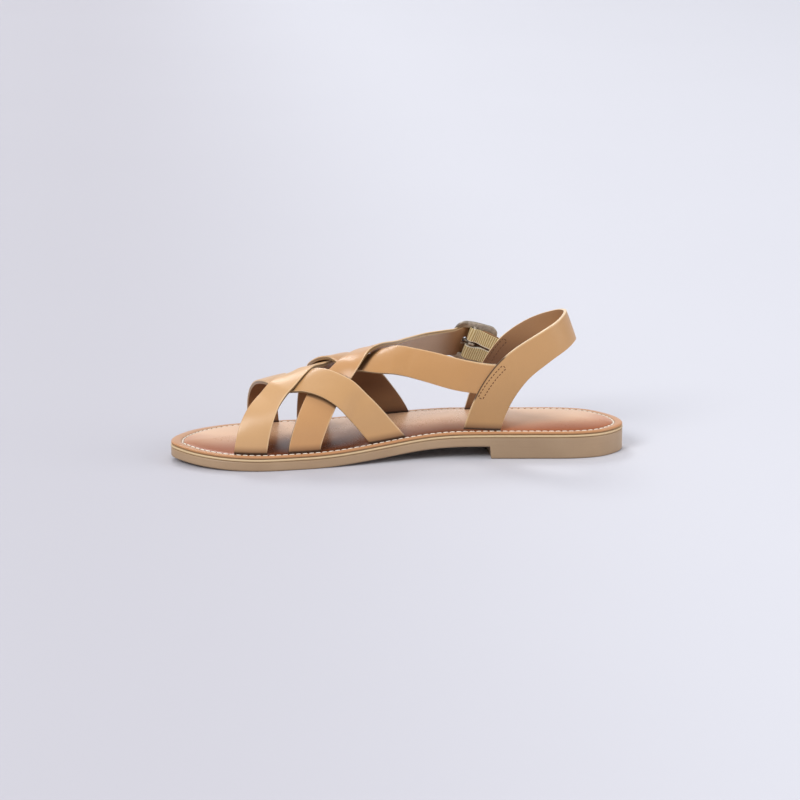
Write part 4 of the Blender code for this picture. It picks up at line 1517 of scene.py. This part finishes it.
@dataclass
class Upper:
    """The five straps and their sewing."""

    last: Last
    rows: int = 230
    leather: float = 2.2
    sling_leather: float = 1.75
    sling_edge: Colour = srgb(236, 208, 168)
    tuck_reach: float = 1.1
    tuck_spread: float = 0.75
    tuck_start: float = 0.3
    tuck_lift: float = 4.0
    tuck_gap: float = 6.0
    tuck_samples: int = 260
    outer_round: float = 0.3
    inner_round: float = 0.22
    crown: float = 0.1
    hole_place: float = -2.5
    hole_radius: float = 1.5
    small_pitch: float = 2.0
    small_stitch: Triple = (1.35, 0.5, 0.42)
    # The tail's corners are drawn back, and a reach below one keeps their slope finite.
    tail_round: float = 5.0
    tail_reach: float = 0.98
    hole_depth: float = 7.0
    hole_sides: int = 24
    sharp_angle: float = 50.0
    box_points: int = 40
    box_rise: float = 0.6
    sling_seam_share: float = 0.2
    inner_box: tuple[Pair, ...] = ((27.8, 7.2), (48.6, 6.0), (48.6, 3.7), (27.8, 4.7))
    outer_box: tuple[Pair, ...] = ((148.0, 7.2), (165.0, 7.2), (165.0, 4.6), (148.0, 4.6))
    # Painted shadow along the slingback's front edge, by distance along it.
    edge_shadow_stretch: Stretch = Stretch(24.0, 27.0, 51.0, 54.0)
    # Painted shade on the slingback, darker towards the insole.
    painted_low_shade: float = 0.2
    # Painted sheen on the buckle strap's lining, by distance along it.
    sheen_stretch: Stretch = Stretch(84.0, 104.0, 130.0, 150.0)
    # Painted shade: each strap's base colour is its leather tone made darker for the straps further from the
    # lamp on the left, in place of that lamp's falloff.
    grains_and_shades: tuple[tuple[str, Colour], ...] = (
        ("front_inner", srgb(208, 164, 115)),
        ("rear_inner", srgb(200, 150, 99)),
        ("front_outer", srgb(199, 154, 104)),
        ("rear_outer", srgb(193, 144, 92)),
        ("slingback", srgb(198, 151, 99)),
    )

    def section(self, half_width: float, thick: float) -> tuple[Array, Array]:
        """Offsets and depths once round a strap's section.

        Args:
            half_width: half the strap's width.
            thick: thickness of its leather.

        Returns:
            Offsets and depths, the first point repeated at the end.
        """
        flat_out = half_width - self.outer_round
        flat_in = half_width - self.inner_round
        offsets = list(np.linspace(-flat_out, flat_out, 17))
        depths = [thick + self.crown * (1.0 - (o / half_width) ** 2) for o in offsets]
        corners = (
            (flat_out, thick - self.outer_round, self.outer_round, (60.0, 30.0, 0.0)),
            (flat_in, self.inner_round, self.inner_round, (0.0, -30.0, -60.0, -90.0)),
        )
        for place, level, radius, angles in corners:
            offsets += [place + radius * math.cos(math.radians(a)) for a in angles]
            depths += [level + radius * math.sin(math.radians(a)) for a in angles]
        inner = list(np.linspace(flat_in, -flat_in, 9))[1:]
        offsets += inner
        depths += [0.0] * len(inner)
        for place, level, radius, angles in reversed(corners):
            turned = [180.0 - a for a in reversed(angles)]
            if radius == self.inner_round:
                turned = turned[1:]
            offsets += [-place + radius * math.cos(math.radians(a)) for a in turned]
            depths += [level + radius * math.sin(math.radians(a)) for a in turned]
        return np.array([*offsets, offsets[0]]), np.array([*depths, depths[0]])

    def build_strap(self, name: str) -> bpy.types.Object:
        """One strap with rounded edges.

        Args:
            name: the strap.

        Returns:
            The closed piece.
        """
        cut = self.last.straps[name]
        offsets, depths = self.section(cut.half_width, self.sling_leather if cut.on_heel else self.leather)
        starts, stops = self.last.ends(cut, offsets)
        if cut.hump:
            to_edge = self.tail_reach * (offsets / cut.half_width) ** 2
            stops = stops - self.tail_round * (1.0 - np.sqrt(1.0 - to_edge))
        share = np.linspace(0.0, 1.0, self.rows)[:, None]
        distance = starts[None, :] * (1.0 - share) + stops[None, :] * share
        across = np.broadcast_to(offsets, distance.shape)
        points, normals = self.last.surface(name, distance, across)
        points = points + normals * depths[None, :, None]
        lay = np.dstack([distance, across, np.broadcast_to(depths, distance.shape)])
        tuck = closed_ends(self.tucked(name, points, normals)[..., None])[..., 0]
        points, lay = closed_ends(points), closed_ends(lay)
        foot = points[..., 2] - self.last.sole.insole_top(points[..., 0])
        return Bench.loft("strap_" + name, points, lay, foot=foot, tuck=tuck)

    def tucked(self, name: str, points: Array, normals: Array) -> Array:
        """How closely points of a strap lie beside an edge of the strap that crosses over it.

        Args:
            name: the strap below.
            points: places on its skin.
            normals: its outward normals there.

        Returns:
            Numbers from 0, away from the edge, to 1 beside it. They reach further where the edge stands off.
        """
        shade = np.zeros(points.shape[:-1])
        for cut in self.last.straps.values():
            if cut.over != name:
                continue
            along = np.linspace(0.0, self.last.chords(cut)[0][-1], self.tuck_samples)
            for side in (-cut.half_width, cut.half_width):
                edge, _ = self.last.surface(cut.name, along, np.full_like(along, side))
                gap = edge - points[..., None, :]
                lift = (gap * normals[..., None, :]).sum(-1)
                beside = np.sqrt(np.maximum((gap * gap).sum(-1) - lift * lift, 0.0))
                reach = self.tuck_reach + self.tuck_spread * np.clip(lift, 0.0, self.tuck_lift)
                near = 1.0 - smooth_step((beside / reach - self.tuck_start) / (1.0 - self.tuck_start))
                shade = np.maximum(shade, np.where(np.abs(lift) < self.tuck_gap, near, 0.0).max(-1))
        return shade

    def punch(self, strap: bpy.types.Object) -> None:
        """Punches the hole for the prong.

        Args:
            strap: the piece that is punched.
        """
        centre = self.last.beside_bar(self.hole_place, 0.0, self.last.hump + self.last.thickness / 2)
        above = self.last.beside_bar(self.hole_place, 0.0, self.last.hump + self.last.thickness)
        turn = Vector(above - centre).to_track_quat("Z", "Y").to_euler()
        Bench.clear()
        bpy.ops.mesh.primitive_cylinder_add(vertices=self.hole_sides, radius=self.hole_radius * MM,
                                            depth=self.hole_depth * MM, location=tuple(centre * MM),
                                            rotation=turn)
        tool = bpy.context.object
        Bench.apply(strap, "BOOLEAN", object=tool, operation="DIFFERENCE", solver="EXACT")
        bpy.data.objects.remove(tool, do_unlink=True)
        Bench.crisp(strap, self.sharp_angle)

    @staticmethod
    def nearest_normal(path: Array, normals: Array) -> Callable[[Array], Array]:
        """Looks up normals along a path.

        Args:
            path: points of the path.
            normals: the normal at each of them.

        Returns:
            A function that gives the normal of the path's point nearest to a place.
        """
        def at(place: Array) -> Array:
            """Normal nearest to the place."""
            return normals[np.argmin(((path - place) ** 2).sum(-1))]

        return at

    def seam_box(self, name: str, corners: Sequence[Pair], outside: bool) -> bpy.types.Object:
        """A sewn box on the slingback.

        Args:
            name: name of the piece.
            corners: distance and offset of each corner, in order.
            outside: whether it shows on the outer face.

        Returns:
            The joined stitches.
        """
        seats = []
        depth = self.sling_leather + self.crown * self.box_rise if outside else 0.0
        sign = 1.0 if outside else -1.0
        for start, stop in zip(corners, [*corners[1:], corners[0]]):
            share = np.linspace(0.0, 1.0, self.box_points)
            along = start[0] + (stop[0] - start[0]) * share
            across = start[1] + (stop[1] - start[1]) * share
            points, normals = self.last.surface("slingback", along, across)
            path = points + normals * depth
            seats += seam_seats(path, self.nearest_normal(path, sign * normals), self.small_pitch)
        return Bench.stitches(name, seats, self.small_stitch)

    def build(self) -> None:
        """Makes, dresses and hands over the straps and their sewing."""
        for name, grain_and_shade in self.grains_and_shades:
            strap = self.build_strap(name)
            finish = StrapLeather("leather_" + name, grain_and_shade, self.last.straps[name].half_width)
            if name == "slingback":
                finish = replace(finish, highlight_side=1.0, edge_shadow_stretch=self.edge_shadow_stretch, painted_low_shade=self.painted_low_shade,
                                 thickness=self.sling_leather, edge=self.sling_edge,
                                 seam_share=self.sling_seam_share)
            if name == "rear_inner":
                finish = replace(finish, sheen_stretch=self.sheen_stretch)
                self.punch(strap)
            Bench.hand_over(strap, finish.make(), Slot.STRAP, "upper")
        thread = Thread("brown_thread", srgb(120, 78, 42), srgb(74, 46, 26)).make()
        boxes = (("inner", self.inner_box, True), ("outer", self.outer_box, True),
                 ("lining", self.outer_box, False))
        for name, corners, outside in boxes:
            Bench.hand_over(self.seam_box("slingback_seam_" + name, corners, outside), thread, Slot.STRAP)


@dataclass
class Fastening:
    """Buckle loop, prong and the two elastic bands."""

    last: Last
    half_length: float = 11.7
    half_width: float = 9.7
    loop_shift: float = 2.1
    roundness: float = 8.0
    wire_wide: float = 1.95
    wire_high: float = 1.05
    wire_square: float = 0.55
    bar_radius: float = 1.1
    bar_level: float = 0.3
    middle_level: float = 1.9
    end_level: float = 3.7
    prong_radius: float = 0.78
    gap: float = 0.3
    band: float = 1.1
    band_edges: Pair = (1.3, 8.3)
    band_drawn: Pair = (0.5, 7.6)
    band_sewn: float = 15.0
    rib_pitch: float = 1.25
    rib_height: float = 0.16
    loop_samples: int = 129
    loop_points: int = 121
    loop_sides: int = 24
    # Where the bar starts to bend up to the loop, and over how much.
    bar_bend: Pair = (8.4, 2.2)
    bar_points: int = 25
    hook_turn: Pair = (-135.0, 90.0)
    hook_points: int = 14
    prong_along: tuple[float, ...] = (-1.6, -3.2, -5.2, -8.4, -11.8)
    prong_rise: Pair = (3.1, 4.8)
    prong_bow: float = 0.2
    prong_points: int = 70
    prong_sides: int = 14
    taper_places: tuple[float, ...] = (0.0, 0.03, 0.55, 0.96, 0.99, 1.0)
    taper_sizes: tuple[float, ...] = (0.6, 1.0, 1.0, 0.8, 0.6, 0.35)
    # Where the band starts to leave the bar's level and width, and over how much.
    band_lead: Pair = (1.5, 6.5)
    band_draw: Pair = (1.5, 6.0)
    band_square: float = 0.35
    band_sides: int = 29
    run_end: float = 1.0
    run_points: int = 12
    bend_turn: Pair = (-90.0, -270.0)
    bend_points: int = 10
    back_along: tuple[float, ...] = (2.0, 4.0, 6.0, 8.0)
    back_level: tuple[float, ...] = (1.9, 1.3, 0.5, -0.3)
    points_per_rib: int = 7

    def tube(self, name: str, along: Array, across: Array, level: Array, frames: tuple[Array, Array],
             wide: Array, high: Array, closed: bool, sides: int = 16,
             square: float = 1.0) -> bpy.types.Object:
        """A bar beside the buckle, from a path and two section directions.

        Args:
            name: name of the piece.
            along: path along the strap.
            across: path across the strap.
            level: path out from the strap.
            frames: section directions as (along, across, level) vectors.
            wide: half size in the first direction.
            high: half size in the second direction.
            closed: whether the path ends where it starts.
            sides: points round the section.
            square: 1 for an oval section, less for one with flat faces.

        Returns:
            The closed piece.
        """
        angles = 2.0 * math.pi * np.arange(sides + 1) / sides
        path = np.column_stack([along, across, level])
        first, second = rounded_box(angles, square)
        ring = first[None, :, None] * (frames[0] * np.asarray(wide)[:, None])[:, None, :]
        ring = ring + second[None, :, None] * (frames[1] * np.asarray(high)[:, None])[:, None, :]
        local = path[:, None, :] + ring
        local = local if closed else closed_ends(local)
        return Bench.loft(name, self.last.square_to_bar(local[..., 0], local[..., 1], local[..., 2]))

    def build_loop(self) -> bpy.types.Object:
        """Rounded frame with its cross bar.

        Returns:
            The closed piece.
        """
        angles = np.linspace(0.0, 2.0 * math.pi, self.loop_samples)
        along, across = rounded_box(angles, 2.0 / self.roundness)
        along, across = self.half_length * along, self.half_width * across
        share = smooth_step(np.abs(along) / self.half_length)
        level = self.middle_level + (self.end_level - self.middle_level) * share
        chord = run_length(np.column_stack([along, across]))
        even = np.linspace(0.0, chord[-1], self.loop_points)
        along, across, level = (np.interp(even, chord, v) for v in (along, across, level))
        tangent = np.gradient(np.column_stack([along, across]), axis=0)
        tangent[0] = tangent[-1] = tangent[0] + tangent[-1]
        tangent = unit(tangent)
        along = along + self.loop_shift
        out = np.column_stack([tangent[:, 1], -tangent[:, 0], np.zeros(len(even))])
        up = np.broadcast_to([0.0, 0.0, 1.0], out.shape)
        full = np.ones(len(even))
        loop = self.tube("buckle_loop", along, across, level, (out, up), full * self.wire_wide,
                         full * self.wire_high, True, self.loop_sides, self.wire_square)
        count = self.bar_points
        reach = np.linspace(-1.0, 1.0, count) * self.half_width
        bend = smooth_step((np.abs(reach) - self.bar_bend[0]) / self.bar_bend[1])
        rise = (self.middle_level - self.bar_level) * bend
        ahead = np.broadcast_to([1.0, 0.0, 0.0], (count, 3))
        radius = np.full(count, self.bar_radius)
        bar = self.tube("buckle_bar", np.zeros(count), reach, self.bar_level + rise, (ahead, up[:count]),
                        radius, radius, False)
        return Bench.join([loop, bar])

    def side_frames(self, along: Array, level: Array) -> tuple[Array, Array]:
        """Section directions of a path that keeps to the middle plane: sideways, and out of the path.

        Args:
            along: path along the strap.
            level: path out from the strap.

        Returns:
            The two directions at each point.
        """
        tangent = unit(np.gradient(np.column_stack([along, level]), axis=0))
        side = np.broadcast_to([0.0, 1.0, 0.0], (len(along), 3))
        out = np.column_stack([-tangent[:, 1], np.zeros(len(along)), tangent[:, 0]])
        return side, out

    def fine_path(self, along: Sequence[float], level: Sequence[float], count: int) -> tuple[Array, Array]:
        """A smooth path through coarse points, at even distances.

        Args:
            along: coarse points along the strap.
            level: coarse points out from it.
            count: points of the fine path.

        Returns:
            The fine path in the two directions.
        """
        chord = run_length(np.column_stack([along, level]))
        even = np.linspace(0.0, chord[-1], count)
        return smooth_curve(chord, along, even), smooth_curve(chord, level, even)

    def build_prong(self) -> bpy.types.Object:
        """Pin hooked round the bar, out through the strap and on to the front end of the loop.

        Returns:
            The closed piece.
        """
        hook = self.bar_radius + self.gap + self.prong_radius
        angles = np.radians(np.linspace(*self.hook_turn, self.hook_points))
        rest = self.end_level + self.wire_high + self.gap + self.prong_radius
        along = [*(hook * np.cos(angles)), *self.prong_along]
        level = [*(self.bar_level + hook * np.sin(angles)), *self.prong_rise,
                 rest - self.prong_bow, rest + self.prong_bow, rest]
        count = self.prong_points
        fine_along, fine_level = self.fine_path(along, level, count)
        taper = np.interp(np.linspace(0.0, 1.0, count), self.taper_places, self.taper_sizes)
        radius = taper * self.prong_radius
        return self.tube("buckle_tongue", fine_along, np.zeros(count), fine_level,
                         self.side_frames(fine_along, fine_level), radius, radius, False,
                         self.prong_sides)

    def build_band(self, name: str, side: float) -> bpy.types.Object:
        """Ribbed band sewn inside the slingback's outer leg, round the bar and back on itself.

        Args:
            name: name of the piece.
            side: -1 above the middle of the bar, 1 below it.

        Returns:
            The closed piece.
        """
        loop = self.bar_radius + self.gap + self.band / 2
        sewn = -self.last.tail_gap - self.last.thickness / 2
        run = np.linspace(self.band_sewn, self.run_end, self.run_points)
        lead = smooth_step((run - self.band_lead[0]) / self.band_lead[1])
        run_level = self.bar_level - loop + (sewn - self.bar_level + loop) * lead
        angles = np.radians(np.linspace(*self.bend_turn, self.bend_points))
        along = [*run, *(loop * np.cos(angles)), *self.back_along]
        level = [*run_level, *(self.bar_level + loop * np.sin(angles)), *self.back_level]
        chord = float(run_length(np.column_stack([along, level]))[-1])
        count = int(chord / self.rib_pitch * self.points_per_rib)
        fine_along, fine_level = self.fine_path(along, level, count)
        _, out = self.side_frames(fine_along, fine_level)
        places = np.linspace(0.0, chord, count)
        rib = 0.5 + 0.5 * np.cos(2.0 * math.pi * places / self.rib_pitch)
        drawn = smooth_step((fine_along - self.band_draw[0]) / self.band_draw[1])[:, None]
        inner, outer = (at + (to - at) * drawn for at, to in zip(self.band_edges, self.band_drawn))
        wide, high = rounded_box(np.linspace(0.0, 2.0 * math.pi, self.band_sides), self.band_square)
        high = high * self.band / 2
        thin = 1.0 - (2.0 * self.rib_height / self.band) * (1.0 - rib)
        level_out = high[None, :] * thin[:, None]
        local = np.stack([
            fine_along[:, None] + out[:, 0:1] * level_out,
            side * ((inner + outer) / 2 + wide[None, :] * (outer - inner) / 2),
            fine_level[:, None] + out[:, 2:3] * level_out,
        ], -1)
        lay = np.dstack([np.broadcast_to(places[:, None], level_out.shape),
                         np.broadcast_to(-wide, level_out.shape),
                         np.broadcast_to(rib[:, None], level_out.shape)])
        local, lay = closed_ends(local), closed_ends(lay)
        return Bench.loft(name, self.last.beside_bar(local[..., 0], local[..., 1], local[..., 2]), lay)

    def build(self) -> None:
        """Makes, dresses and hands over the buckle and the bands."""
        metal = AgedMetal().make()
        Bench.hand_over(self.build_loop(), metal, Slot.METAL, "buckle_frame")
        Bench.hand_over(self.build_prong(), metal, Slot.METAL, "buckle_prong")
        for name, side, tone in (("upper", -1.0, 1.04), ("lower", 1.0, 0.8)):
            weave = BandWeave("weave_" + name, tone).make()
            Bench.hand_over(self.build_band("band_" + name, side), weave, Slot.ELASTIC, "elastic_" + name)


@dataclass(frozen=True)
class Lamp:
    """A soft studio light."""

    name: str
    place: Triple
    size: float
    power: float
    tall: float = 0.0
    aim: Triple = (0.0, 0.0, 0.03)


@dataclass
class Studio:
    """Pale floor, soft light and the camera."""

    # Painted light: the floor is paler on the +X side than on the -X side.
    floor_left: Colour = srgb(194, 193, 200)
    floor_right: Colour = srgb(212, 213, 220)
    floor_blend: float = 0.2
    floor_radius: float = 9.0
    sky_colour: Colour = srgb(242, 242, 250)
    sky_strength: float = 0.46
    azimuth: float = -6.0
    elevation: float = 13.2
    distance: float = 1.6
    look: Triple = (0.0, 0.0, 0.04)
    pixels_per_metre: float = 1798.0
    picture: float = 800.0
    sensor: float = 36.0
    centre_pixel: Pair = (396.7, 379.56)
    lamps: tuple[Lamp, ...] = (
        Lamp("lamp_above", (0.4, 0.6, 5.0), 5.0, 48.0),
        Lamp("lamp_front", (-2.8, -2.9, 3.0), 2.4, 150.0),
        Lamp("lamp_right", (3.2, -0.8, 1.4), 2.2, 46.0),
        Lamp("lamp_key", (-0.6, 2.7, 2.9), 1.5, 46.0),
        Lamp("lamp_low", (0.1, 3.6, 0.62), 4.0, 8.0, 0.9),
    )

    def build_floor(self) -> None:
        """Pale floor that reaches past the view, with painted light that makes it paler towards +X."""
        Bench.clear()
        bpy.ops.mesh.primitive_circle_add(vertices=96, radius=self.floor_radius, fill_type="NGON")
        floor = bpy.context.object
        floor.name = "floor"
        mix = Recipe("floor_paper")
        place = mix.place()
        across = mix.split(place)[0]
        paper_with_painted_light = mix.mix(across.step(-self.floor_blend, self.floor_blend), self.floor_left, self.floor_right)
        paper_with_painted_light = mix.shade(paper_with_painted_light, 0.99 + mix.noise(place, 3.0, 2.0) * 0.02)
        floor.data.materials.append(mix.finish(paper_with_painted_light, 0.8, Specular_IOR_Level=0.2))

    def build_light(self) -> None:
        """Even sky and soft lamps."""
        world = bpy.data.worlds.new("studio_sky")
        world.use_nodes = True
        backdrop = world.node_tree.nodes["Background"]
        backdrop.inputs["Color"].default_value = (*self.sky_colour, 1.0)
        backdrop.inputs["Strength"].default_value = self.sky_strength
        bpy.context.scene.world = world
        for lamp in self.lamps:
            data = bpy.data.lights.new(lamp.name, "AREA")
            data.shape = "ELLIPSE"
            data.size = lamp.size
            data.size_y = lamp.tall or lamp.size
            data.energy = lamp.power
            item = bpy.data.objects.new(lamp.name, data)
            bpy.context.scene.collection.objects.link(item)
            item.location = lamp.place
            item.rotation_euler = (Vector(lamp.aim) - Vector(lamp.place)).to_track_quat("-Z", "Y").to_euler()

    def build_camera(self) -> None:
        """Camera at the photograph's angle and framing."""
        turn, tilt = math.radians(self.azimuth), math.radians(self.elevation)
        back = Vector((math.sin(turn) * math.cos(tilt), -math.cos(turn) * math.cos(tilt), math.sin(tilt)))
        data = bpy.data.cameras.new("camera")
        data.sensor_width = self.sensor
        data.lens = self.pixels_per_metre * self.distance * self.sensor / self.picture
        data.shift_x = (self.picture / 2 - self.centre_pixel[0]) / self.picture
        data.shift_y = (self.centre_pixel[1] - self.picture / 2) / self.picture
        camera = bpy.data.objects.new("camera", data)
        bpy.context.scene.collection.objects.link(camera)
        camera.location = Vector(self.look) + back * self.distance
        camera.rotation_euler = (-back).to_track_quat("-Z", "Y").to_euler()
        bpy.context.scene.camera = camera

    def build(self) -> None:
        """Sets up the studio."""
        bpy.context.scene.view_settings.view_transform = "Standard"
        self.build_floor()
        self.build_light()
        self.build_camera()


def main() -> None:
    """Builds the sandal and its studio."""
    logging.basicConfig(level=logging.INFO, format="%(message)s")
    Studio().build()
    sole_form = SoleForm()
    last = Last(sole_form)
    Sole(sole_form).build()
    Upper(last).build()
    Fastening(last).build()


if __name__ == "__main__":
    main()
